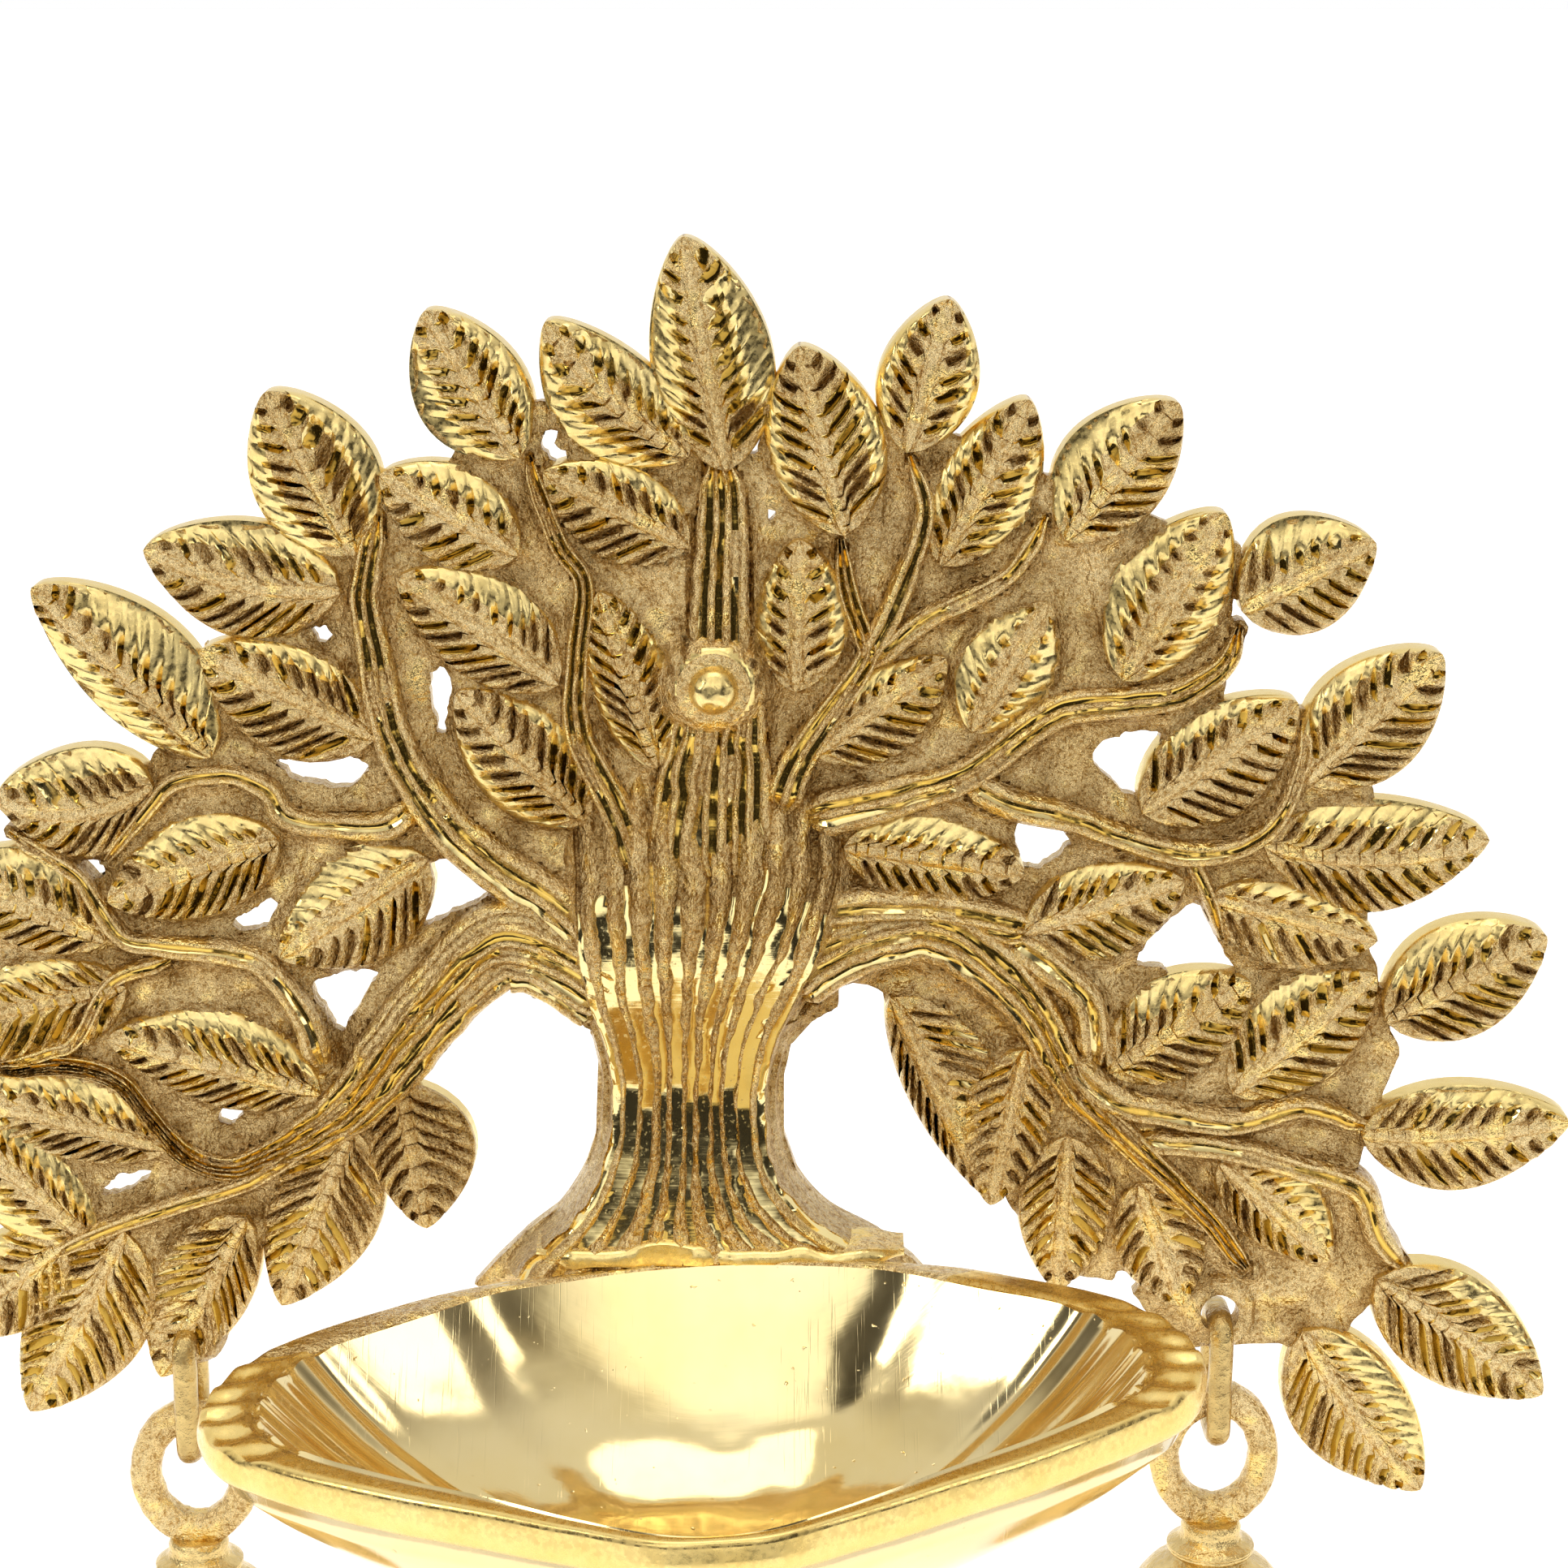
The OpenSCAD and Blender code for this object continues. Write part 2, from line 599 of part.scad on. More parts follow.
module oil_bowl() {
    color(brass)
        placed()
            difference() {
                union() {
                    translate([bowl_x, 0, 0])
                        rotate([0, bowl_roll, bowl_yaw])
                            bowl_skin();
                    translate([-boss_w / 2, -tongue_t - boss_depth, boss_foot])
                        cube([boss_w, boss_depth, boss_top - boss_foot]);
                }
                for (side = [-1, 1])
                    translate([side * screw_x, -tongue_t + eps, screw_z])
                        rotate([90, 0, 0])
                            cylinder(r = screw_r + hole_gap, h = screw_length - tongue_t - washer_t + tip_gap);
            }
}

module bowl_screws() {
    color(steel)
        placed()
            for (side = [-1, 1])
                translate([side * screw_x, washer_t, screw_z])
                    rotate([90, 0, 0])
                        difference() {
                            union() {
                                cylinder(r = screw_r, h = screw_length);
                                translate([0, 0, -head_h])
                                    cylinder(r1 = head_r - head_taper, r2 = head_r, h = head_h);
                            }
                            translate([-head_r, -slot_w / 2, -head_h - eps])
                                cube([2 * head_r, slot_w, slot_depth]);
                        }
}

module bowl_washers() {
    color(steel)
        placed()
            for (side = [-1, 1])
                translate([side * screw_x, washer_t, screw_z])
                    rotate([90, 0, 0])
                        difference() {
                            cylinder(r = washer_r, h = washer_t);
                            translate([0, 0, -eps])
                                cylinder(r = screw_r + 0.15, h = washer_t + 2 * eps);
                        }
}

module hanger_strap() {
    color(dull_brass)
        placed()
            difference() {
                translate([hang_x - strap_w / 2, 0, 0])
                    rotate([90, 0, 90])
                        linear_extrude(strap_w)
                            polygon([[0, strap_foot], [strap_t, strap_foot], [strap_t, bend_from],
                                     [joggle + strap_t, bend_to], [joggle + strap_t, strap_top],
                                     [joggle, strap_top], [joggle, bend_to + bend_shift],
                                     [0, bend_from + bend_shift]]);
                plate_bore(hang_x, rivet_z, rivet_r + hole_gap);
                plate_bore(hang_x, hang_z, nail_r);
                slab(-eps, far)
                    difference() {
                        translate([hang_x - strap_w, hang_z])
                            square([2 * strap_w, strap_w]);
                        translate([hang_x, hang_z])
                            circle(strap_w / 2);
                    }
            }
}

module rivet_washer() {
    color(dull_brass)
        placed()
            translate([hang_x, strap_t + washer_t, rivet_z])
                rotate([90, 0, 0])
                    difference() {
                        cylinder(r = washer_r, h = washer_t);
                        translate([0, 0, -eps])
                            cylinder(r = rivet_r + hole_gap, h = washer_t + 2 * eps);
                    }
}

// Dome head in front, shank through plate, strap and washer, peened tail behind
module hanger_rivet() {
    grip = rivet_seat_t + strap_t + washer_t;
    color(brass)
        placed()
            translate([hang_x, -rivet_seat_t, rivet_z])
                rotate([90, 0, 0])
                    rotate_extrude()
                        polygon([[0, 3], [1.2, 2.8], [2.3, 2.2], [rivet_head_r, 1.1], [3.6, 0.6],
                                 [rivet_flange_r, 0.3], [rivet_flange_r, 0], [rivet_r, 0],
                                 [rivet_r, -grip], [rivet_tail_r, -grip], [2.6, -grip - 0.9],
                                 [0, -grip - 1.2]]);
}

// Rounded rectangle of round wire, standing in the y-z plane
module link(hole) {
    w = link_w / 2 - link_corner;
    h = link_h / 2 - link_corner;
    color(dull_brass)
        placed()
            translate([hole[0], pad_y, hole[1] - bar_drop - link_h / 2])
                rotate([90, 0, 90])
                    union() {
                        for (y = [-1, 1])
                            for (z = [-1, 1])
                                translate([y * w, z * h, 0])
                                    rotate([0, 0, z > 0 ? (y > 0 ? 0 : 90) : (y > 0 ? 270 : 180)])
                                        rotate_extrude(angle = 90)
                                            translate([link_corner, 0])
                                                circle(wire_d / 2);
                        for (y = [-1, 1])
                            translate([y * link_w / 2, -h, 0])
                                rotate([-90, 0, 0])
                                    cylinder(r = wire_d / 2, h = 2 * h);
                        for (z = [-1, 1])
                            translate([-w, z * link_h / 2, 0])
                                rotate([0, 90, 0])
                                    cylinder(r = wire_d / 2, h = 2 * w);
                    }
}

// Height of a bell's ring centre for the link hole that carries it
function ring_z(hole) = hole[1] - bar_drop - link_h - (ring_hole_w / 2 - wire_d / 2 - play) - ring_stretch;

// Upright oblong with round ends
module oblong(r, stretch) {
    for (side = [-1, 1])
        translate([0, side * stretch])
            circle(r);
    square([2 * r, 2 * stretch], center = true);
}

module bell(hole) {
    color(dull_brass)
        placed()
            translate([hole[0], pad_y, ring_z(hole)])
                difference() {
                    union() {
                        slab(-ring_t / 2, ring_t / 2)
                            oblong(ring_w / 2, rim_stretch);
                        rotate_extrude()
                            polygon(concat([[0, bell_outside[0][1]]], bell_outside, bell_inside));
                    }
                    slab(-ring_t, ring_t)
                        oblong(ring_hole_w / 2, ring_stretch);
                    translate([0, pin_length / 2 + hole_gap, pin_z])
                        rotate([90, 0, 0])
                            cylinder(r = pin_r + hole_gap, h = pin_length + 2 * hole_gap);
                }
}

module clapper_pin(hole) {
    color(steel)
        placed()
            translate([hole[0], pad_y + pin_length / 2, ring_z(hole) + pin_z])
                rotate([90, 0, 0])
                    cylinder(r = pin_r, h = pin_length);
}

// Wire with an eye round the pin, its foot held in the ball
module clapper_rod(hole) {
    color(steel)
        placed()
            translate([hole[0], pad_y, ring_z(hole) + pin_z])
                union() {
                    rotate([90, 0, 0])
                        rotate_extrude()
                            translate([eye_r, 0])
                                circle(rod_r);
                    translate([0, 0, -rod_length])
                        cylinder(r = rod_r, h = rod_length - eye_r);
                }
}

module clapper_ball(hole) {
    color(dull_brass)
        placed()
            translate([hole[0], pad_y, ring_z(hole) + pin_z - rod_length])
                difference() {
                    sphere(ball_r);
                    translate([0, 0, -hole_gap])
                        cylinder(r = rod_r + hole_gap, h = 2 * ball_r);
                }
}

module left_link() {
    link(left_hole);
}

module left_bell() {
    bell(left_hole);
}

module left_clapper_pin() {
    clapper_pin(left_hole);
}

module left_clapper_rod() {
    clapper_rod(left_hole);
}

module left_clapper_ball() {
    clapper_ball(left_hole);
}

module right_link() {
    link(right_hole);
}

module right_bell() {
    bell(right_hole);
}

module right_clapper_pin() {
    clapper_pin(right_hole);
}

module right_clapper_rod() {
    clapper_rod(right_hole);
}

module right_clapper_ball() {
    clapper_ball(right_hole);
}

tree_plate();
oil_bowl();
bowl_screws();
bowl_washers();
hanger_strap();
hanger_rivet();
rivet_washer();
left_link();
left_bell();
left_clapper_pin();
left_clapper_rod();
left_clapper_ball();
right_link();
right_bell();
right_clapper_pin();
right_clapper_rod();
right_clapper_ball();
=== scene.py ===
import math

import bpy
import numpy as np
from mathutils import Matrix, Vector


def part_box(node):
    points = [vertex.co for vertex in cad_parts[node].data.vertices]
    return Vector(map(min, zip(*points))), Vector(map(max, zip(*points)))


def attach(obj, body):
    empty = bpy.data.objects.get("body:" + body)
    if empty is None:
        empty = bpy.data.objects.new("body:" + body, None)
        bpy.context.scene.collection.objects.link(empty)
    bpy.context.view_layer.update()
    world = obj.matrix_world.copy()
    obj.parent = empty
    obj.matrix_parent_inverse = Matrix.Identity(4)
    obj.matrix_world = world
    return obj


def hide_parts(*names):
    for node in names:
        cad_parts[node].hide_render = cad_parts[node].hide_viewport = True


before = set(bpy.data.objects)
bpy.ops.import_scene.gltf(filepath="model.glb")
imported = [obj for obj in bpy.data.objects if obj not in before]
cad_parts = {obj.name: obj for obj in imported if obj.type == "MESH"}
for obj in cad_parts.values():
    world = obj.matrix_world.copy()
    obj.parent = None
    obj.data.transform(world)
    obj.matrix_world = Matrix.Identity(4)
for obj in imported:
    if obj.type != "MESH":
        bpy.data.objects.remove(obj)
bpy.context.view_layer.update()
MM = 0.001

# The layout below is in millimetres about the foot of the trunk: x right, y back, z up. HANG is the nail
# hole, the frame's origin, in that layout.
HANG = np.array((1.2, 3.8, 98.0))
SEED = 11


def to_frame(points):
    """Layout millimetres to frame metres."""
    return (np.asarray(points, float) - HANG) * MM


def to_layout(point):
    """Frame metres to layout millimetres."""
    return np.asarray(point, float) / MM + HANG


# ---------------------------------------------------------------- numpy tools

def lattice_noise(x, z, size, seed):
    """Smooth noise from -1 to 1 with features about size across."""
    grid = np.random.default_rng(seed).uniform(-1, 1, (256, 256))
    u, v = np.asarray(x) / size + 97.3, np.asarray(z) / size + 51.7
    i, j = np.floor(u).astype(int), np.floor(v).astype(int)
    fu, fv = u - i, v - j
    fu, fv = fu * fu * (3 - 2 * fu), fv * fv * (3 - 2 * fv)
    i0, i1, j0, j1 = i % 256, (i + 1) % 256, j % 256, (j + 1) % 256
    low = grid[j0, i0] * (1 - fu) + grid[j0, i1] * fu
    high = grid[j1, i0] * (1 - fu) + grid[j1, i1] * fu
    return low * (1 - fv) + high * fv


def ease(a, b, x):
    """0 at a, 1 at b, smooth between; a may be above b."""
    t = np.clip((np.asarray(x, float) - a) / (b - a), 0, 1)
    return t * t * (3 - 2 * t)


def soft_max(a, b, k):
    """The larger of two fields, with a fillet of about k."""
    h = np.clip(0.5 + 0.5 * (a - b) / k, 0, 1)
    return b * (1 - h) + a * h + k * h * (1 - h)


def smooth_path(points, parts=5):
    """Catmull-Rom curve through points of any width."""
    p = np.array(points, float)
    p = np.vstack([2 * p[0] - p[1], p, 2 * p[-1] - p[-2]])
    t = (np.arange(parts) / parts)[:, None]
    out = []
    for a, b, c, d in zip(p[:-3], p[1:-2], p[2:-1], p[3:]):
        out.append(b + 0.5 * t * (c - a + t * (2 * a - 5 * b + 4 * c - d + t * (3 * (b - c) + d - a))))
    return np.vstack(out + [p[-2:-1]])


def outline_distance(x, z, points):
    """Signed distance to a closed outline, positive inside."""
    p = np.array(points, float)
    best, inside = np.full(x.shape, 1e9), np.zeros(x.shape, bool)
    for (ax, az), (bx, bz) in zip(p, np.roll(p, -1, axis=0)):
        ex, ez = bx - ax, bz - az
        t = np.clip(((x - ax) * ex + (z - az) * ez) / max(ex * ex + ez * ez, 1e-9), 0, 1)
        best = np.minimum(best, np.hypot(x - ax - t * ex, z - az - t * ez))
        if ez:
            inside ^= ((az > z) != (bz > z)) & (x < ax + (z - az) * ex / ez)
    return np.where(inside, best, -best)


def show(name, data):
    """Adds an object with this data to the scene."""
    obj = bpy.data.objects.new(name, data)
    bpy.context.scene.collection.objects.link(obj)
    return obj


def grid_faces(rows, columns, around=False, loop=False, flip=False):
    """Quads of points stored row by row; around joins the last column to the first, loop the last row."""
    faces = []
    for r in range(rows if loop else rows - 1):
        for c in range(columns if around else columns - 1):
            low, high, right = r * columns, (r + 1) % rows * columns, (c + 1) % columns
            quad = (low + c, low + right, high + right, high + c)
            faces.append(quad[:1] + quad[:0:-1] if flip else quad)
    return faces


class Mesh:
    """Collects closed shells of quads, triangles and outlines into one mesh object."""

    def __init__(self):
        self.points, self.faces, self.kinds, self.tarnish, self.count = [], [], [], [], 0

    def add(self, points, faces, kind=0, tarnish=0.0):
        points = np.asarray(points, float).reshape(-1, 3)
        self.tarnish.append(np.broadcast_to(np.asarray(tarnish, float).reshape(-1), len(points)))
        kinds = kind if hasattr(kind, "__len__") else [kind] * len(faces)
        self.faces += [tuple(int(i) + self.count for i in f) for f in faces]
        self.kinds += [int(k) for k in kinds]
        self.points.append(points)
        self.count += len(points)

    def turned(self, rings, ends, kinds=(), flip=False):
        """A closed shell of rings of points, with a middle point at each end; kinds of its quads."""
        rows, sides = rings.shape[:2]
        n = rows * sides
        faces = grid_faces(rows, sides, around=True, flip=flip)
        kinds = list(kinds) or [0] * len(faces)
        for i in range(sides):
            after = (i + 1) % sides
            faces.append((n, i, after) if flip else (n, after, i))
        for i in range(n - sides, n):
            after = n - sides + (i + 1) % sides
            faces.append((n + 1, after, i) if flip else (n + 1, i, after))
        self.add(np.vstack([rings.reshape(-1, 3), ends]), faces, kinds + [0] * (2 * sides))

    def build(self, name, materials, sharp=40):
        mesh = bpy.data.meshes.new(name)
        mesh.from_pydata(to_frame(np.vstack(self.points)).tolist(), [], self.faces)
        mesh.polygons.foreach_set("material_index", self.kinds)
        mesh.polygons.foreach_set("use_smooth", [True] * len(self.faces))
        for material in materials:
            mesh.materials.append(material)
        mesh.update()
        mesh.set_sharp_from_angle(angle=math.radians(sharp))
        # Per point painted shade with old patina, 1 darkest, which the materials read
        shade = mesh.attributes.new("tarnish", "FLOAT", "POINT")
        shade.data.foreach_set("value", np.clip(np.concatenate(self.tarnish), 0, 1).astype(np.float32))
        mesh.validate(clean_customdata=False)
        return show(name, mesh)


# ---------------------------------------------------------------- layout of the tree

# Leaf: name, stalk x and z, tip x and z, half width left and right of the midrib, sideways bend
LEAVES = [
    ("A", -66, 69.5, -89, 92.5, 5.5, 8.8, 0),
    ("B", -48, 92, -74, 97.5, 7, 8, 1.8),
    ("C", -46, 97, -57, 118.5, 8, 8, 0),
    ("D", -24, 110, -36, 129, 8, 6, 0),
    ("E", -2, 110, -20.5, 127.5, 7.5, 6.2, 1.7),
    ("F", 3, 108, -2.5, 138.5, 6.8, 8.2, 0),
    ("G", -24.5, 97, -42.5, 107.5, 6.5, 6.3, 0),
    ("H", -19.5, 79.5, -40.5, 94, 6, 7.7, 0),
    ("I", -2, 98, -21, 108, 6.7, 6, 0),
    ("J", -44, 72, -67, 84, 8, 6.5, 0),
    ("K", -74, 65.5, -95.5, 63.5, 6, 8.5, 3),
    ("L", -16, 60.5, -33, 78.5, 7, 6.5, 0),
    ("CL", -6.5, 68, -14, 92, 5, 6, 0),
    ("W", -57.5, 58, -81, 49.5, 6.7, 7.1, 0),
    ("X", -37.5, 55.5, -58, 41.5, 7.9, 6.9, 0),
    ("LA", -81.5, 44, -104, 53, 5, 8, 0),
    ("LB", -79, 37.5, -106.5, 31.5, 8, 6, 0),
    ("Y", -53, 22, -82, 30, 5.5, 7.5, 0),
    ("Z", -74.5, 14, -104, 22, 5, 6.5, 0),
    ("AA", -85, -0.5, -106, 20.5, 7, 6, 0),
    ("AF", -89.5, 0, -107, -13, 7, 6, 0),
    ("AB", -81, 2, -95.5, -25, 9.2, 6.8, 0),
    ("AC", -64, 4, -77, -20, 5.6, 7.5, 0),
    ("AD", -49, 17, -59.5, -9, 8, 6.8, 0),
    ("AE", -42, 23, -39, 2.5, 8, 5.7, 0),
    ("M", 18.5, 99.5, 12.5, 124.5, 7.1, 7.7, 0),
    ("N", 26.5, 110.5, 32, 130.5, 5.8, 6.4, 0),
    ("O", 31, 95.5, 42.5, 117.5, 5.5, 7, 0),
    ("P", 47.5, 99, 62, 117, 7.5, 6.3, 0),
    ("Q", 55.5, 80, 68.5, 102.5, 8, 7, 0),
    ("R", 71, 89.5, 88.5, 98.5, 8, 7, 0),
    ("S", 80.5, 66, 98, 83.5, 7.5, 7.7, 0),
    ("T", 58.5, 62, 79, 77, 6.3, 8, 0),
    ("U", 35.5, 73, 45.5, 90.5, 6.5, 6.5, 0),
    ("V", 12, 78.5, 12.5, 99, 5.5, 7, 0),
    ("VI", 14.5, 70, 32, 83, 4.5, 7, 0),
    ("BA", 18.5, 57, 43, 53.5, 6, 6.3, 0),
    ("BB", 43, 45, 64.5, 52.5, 6, 7.7, 0),
    ("BC", 68, 50, 91, 44, 4.5, 7.4, 0),
    ("BD", 75, 57.5, 105.5, 58, 7.8, 7.2, -2.5),
    ("BE", 92.5, 32.5, 114, 44.5, 7.5, 8, 0),
    ("BF", 55, 25, 74, 38, 7, 7, 0),
    ("BG", 72, 22, 91, 39, 7.5, 7, 0),
    ("BH", 90, 16, 118.5, 18, 6.5, 8, -1),
    ("BI", 70.5, 12, 86.5, -2.5, 7, 5, 0),
    ("BJ", 93, -5, 117, -22.5, 7.5, 7.5, 0),
    ("BK", 83, -13, 100.5, -37, 7.5, 8, -1),
    ("BL", 25, 36, 38.5, 7, 9, 3.5, 0),
    ("BM", 43.5, 28.5, 39, 6, 6, 6, 0),
    ("BN", 49.5, 16, 48.5, -7, 7, 5.5, 0),
    ("BO", 59.5, 9, 66, -9, 6.5, 6, 0),
]

# Boughs: x, z and width along the middle of each; left, right, then the broken trunk top
BOUGHS = [
    [(-12, 36, 13), (-20, 41, 13), (-28, 43, 13), (-35, 37, 11), (-42, 29, 11), (-47, 22, 9),
     (-53, 17, 7), (-60, 13, 5), (-66, 11, 4), (-72, 13, 3.5), (-77, 19, 3), (-81, 24, 3),
     (-88, 26, 3), (-97, 25, 2.5)],
    [(-49, 20, 3.5), (-62, 10, 3), (-73, 6, 3), (-84, 2, 3), (-92, -2, 2.5)],
    [(-53, 26, 5), (-55, 33, 4.5), (-60, 40, 4), (-65, 42, 4), (-74, 43, 3.5), (-79, 44, 3),
     (-82, 48, 3), (-85, 53, 2.5), (-91, 57, 2.5), (-94, 59, 2)],
    [(-73, 41, 3), (-81, 38, 2.5), (-86, 30, 2.5), (-90, 28, 2.5), (-97, 26, 2)],
    [(-12, 40, 8), (-21, 49, 8), (-27, 53, 7.5), (-33, 58, 7), (-37, 63, 6.5), (-41, 70, 6),
     (-43, 77, 5.5), (-44, 84, 5), (-45, 91, 4.5), (-44, 97, 4), (-43, 102, 3)],
    [(-39, 63, 5), (-43, 60, 4.5), (-50, 60, 4), (-56, 61, 4), (-59, 65, 3.5), (-64, 67, 3),
     (-71, 66, 3), (-75, 62, 2.5), (-81, 55, 2)],
    [(-9, 53, 6), (-12, 62, 5), (-17, 73, 4), (-17, 83, 3.5), (-16, 93, 3), (-19, 98, 3),
     (-22, 106, 2.5), (-23, 110, 2)],
    [(11, 37, 9), (16, 41, 9), (23, 44, 9), (30, 45, 9), (35, 43, 9), (41, 38, 8), (45, 33, 7),
     (48, 27, 6), (51, 22, 5), (58, 15, 4.5), (69, 4, 3.5), (75, -4, 3)],
    [(10, 62, 6), (13, 70, 5), (21, 82, 3.5), (21, 86, 3), (19, 92, 3), (18, 99, 2)],
    [(21, 82, 3.5), (25, 90, 4), (29, 102, 3), (27, 110, 2)],
    [(22, 82, 3.5), (29, 88, 3.5), (35, 91, 3.5), (40, 94, 3), (43, 98, 3), (45, 102, 2)],
    [(14, 61, 7), (26, 64, 6), (35, 67, 5), (43, 73, 5), (48, 76, 5), (56, 77, 4.5), (63, 78, 4.5),
     (69, 82, 3.5), (71, 87, 2.5)],
    [(35, 66, 5), (41, 63, 5), (49, 61, 4.5), (57, 58, 4), (65, 56, 4), (72, 57, 3.5), (77, 61, 3),
     (80, 69, 2.5), (80, 75, 2)],
    [(65, 56, 3), (68, 50, 2.5), (70, 44, 2)],
    [(49, 27, 5), (56, 21, 5), (64, 19, 4.5), (69, 18, 4.5), (74, 18, 4), (82, 20, 3.5),
     (91, 17, 3)],
    [(41, 44, 5), (49, 38, 5.5), (52, 34, 5.5), (53, 26, 5)],
    [(60, 15, 4), (71, 14, 4), (82, 11, 4), (90, 8, 4), (93, 1, 4), (97, -4, 3)],
    [(14, 47, 8), (25, 48, 7), (36, 47, 6), (45, 45, 5)],
    [(1, 52, 18), (1, 62, 17), (2, 74, 13), (2, 80, 11)],
    [(2, 80, 9.5), (2, 90, 8.5), (2.5, 103, 7), (2, 110, 5)],
]

# Holes right through the canopy
VOIDS = [
    [(-53, 86.5), (-51, 87), (-49.5, 85.5), (-50.5, 84.5)],
    [(-57.5, 68.5), (-54.5, 69.5), (-50.5, 69), (-46.5, 69), (-45.5, 67.5), (-47, 65.5),
     (-50.5, 65), (-55, 66)],
    [(-37, 81), (-35, 81.5), (-34, 79.5), (-34.5, 75.5), (-35, 72.5), (-36, 73), (-36.5, 77.5)],
    [(-21, 113), (-19.5, 113), (-19, 111), (-18, 109.5), (-20.5, 109), (-21, 110.5)],
    [(7, 115.5), (6, 115.5), (5.5, 113), (5.5, 110), (7, 109), (7.5, 112)],
    [(8.5, 103), (9.5, 102.5), (9, 101), (8, 101.5)],
    [(-85, 54.5), (-81.5, 54.5), (-82, 52.5), (-83, 52)],
    [(-64.5, 46), (-59.5, 49.5), (-58.5, 48.5), (-60, 45), (-63.5, 45)],
    [(-37.5, 54), (-35, 55.5), (-30.5, 53.5), (-27, 50.5), (-31, 49.5), (-35.5, 46.5),
     (-38.5, 45.5), (-38.5, 49.5)],
    [(-54, 37.5), (-49.5, 39), (-45, 39), (-47.5, 34.5), (-50, 30.5), (-51.5, 30.5), (-52.5, 34)],
    [(-67.5, 19), (-65, 20.5), (-64, 19), (-65.5, 17), (-67.5, 17.5)],
    [(-84, 7.5), (-81.5, 9.5), (-77, 10.5), (-77.5, 9), (-81.5, 7), (-84, 6.5)],
    [(51, 70), (56, 72), (61, 72.5), (60.5, 69), (59, 63.5), (56.5, 64), (53.5, 67)],
    [(41, 59), (43, 60.5), (46.5, 60), (50, 57.5), (47, 55), (45, 53.5), (43, 54), (42, 56)],
    [(58, 40), (61.5, 45), (65.5, 49), (67, 48.5), (69, 45), (72, 38.5), (65, 38.5)],
    [(55.5, -7), (57, -4.5), (59.5, -5.5), (60, -7), (58.5, -8.5)],
    [(-65, 83.5), (-65.5, 85), (-67.5, 85), (-69.5, 88.5), (-68, 90), (-65.5, 86.5), (-65.5, 84)],
]

# Web between leaves and boughs
CANOPY = [(-92, 0), (-79, -13), (-62, -1), (-45, 6), (-42, 25), (-35, 35), (-24, 39), (-14, 33), (-13, 27),
          (9, 27), (13, 33), (20, 38), (24, 36), (27, 26), (34, 16), (40, 8), (47, -4), (58, -7), (66, -16),
          (88, -16), (97, -3), (90, 10), (95, 27), (90, 44), (90, 65), (80, 76), (69, 77), (71, 98),
          (60, 101), (44, 108), (35, 112), (22, 116), (8, 117), (-8, 118), (-22, 117), (-36, 108),
          (-40, 106), (-56, 98), (-62, 84), (-75, 68), (-90, 56), (-98, 45), (-100, 28), (-98, 12), (-98, 4)]
# Trunk, from the left root over the fork to the right root
TRUNK = [(-33, -7), (-29.5, -3), (-25, 1.5), (-20.5, 5), (-17.5, 9.5), (-15.5, 15.5), (-15, 27.5),
         (-16.5, 31.5), (-20, 34.5), (-20, 44), (-11, 62), (11, 62), (18, 46), (18, 34), (14.5, 32),
         (11.5, 28.5), (10.5, 24), (10.5, 15.5), (12.5, 9.5), (16.5, 4.5), (23.5, 1), (28.5, -3), (32, -7)]
LINK_HOLES = [(-73.1, -13.4), (71.4, -10.7)]
LINK_HOLE_R = 2.7
PAD_R = 5.6
PAD_TOP = 4.0
# Tongue that carries the bowl: left, right, low, high; where its full thickness starts
TONGUE = (-22.0, 22.0, -24.0, 1.0)
TONGUE_TOP, TONGUE_T = -2, 5.0
RIVET = (1.2, 79.5)
BUFFED_R = 5.2

# The web's height field: reach in x and z, size of a cell, usual height and range of its front
WEB_X, WEB_Z, WEB_STEP = (-111, 122), (-41, 142), 0.7
WEB_TOP, WEB_RANGE = 2.5, (1.2, 8.0)
BACK_TARNISH = 0.45
LEAF_TOP = 4.3
LEAF_SWELL = 0.45
VEIN_PITCH = 2.8
CAST, CUT, FILED = 0, 1, 2
# How dark painted shade with old patina lies at each place across a leaf's veins, a bough and the trunk, 0 to
# 1
PATINA_SHADE_BY_PLACE = {"start": 0.5, "middle": 0.0, "stop": 0.55, "deep": 1.0, "bed": 0.8, "end": 0.15,
           "side": 0.75, "ridge": 0.15, "crest": 0.0, "brow": 0.1, "rim": 0.6, "cut": 0.0, "edge": 0.8}

# How much of each vein space is chisel-cut away, left and right of the midrib, where it differs
CUT_SHARE = {"C": (0.4, 0.75), "F": (0.5, 0.8), "R": (0.6, 0.4), "S": (0.55, 0.5), "BF": (0.35, 0.55),
             "K": (0.45, 0.6), "T": (0.5, 0.35), "LB": (0.6, 0.45), "BD": (0.5, 0.5)}


def leaf_swing(t):
    """Half width at part t of a leaf, as a share of its widest."""
    t = np.clip(t, 0, 1)
    return np.maximum(np.sin(np.pi * t ** 0.88), 0) ** 0.66


def leaf_place(leaf, t, w):
    """Layout x and z of the point at part t of a leaf and w to the left of its bent midrib."""
    _, bx, bz, tx, tz, _, _, bend = leaf
    dx, dz = tx - bx, tz - bz
    span = math.hypot(dx, dz)
    side = w + bend * 4 * t * (1 - t)
    return bx + dx * t - dz / span * side, bz + dz * t + dx / span * side


def leaf_local(leaf, x, z):
    """Part along a leaf and distance to the left of its midrib, for layout points."""
    _, bx, bz, tx, tz, _, _, bend = leaf
    dx, dz = tx - bx, tz - bz
    span = math.hypot(dx, dz)
    t = ((x - bx) * dx + (z - bz) * dz) / span ** 2
    w = (-(x - bx) * dz + (z - bz) * dx) / span
    return t, w - bend * 4 * t * (1 - t), span


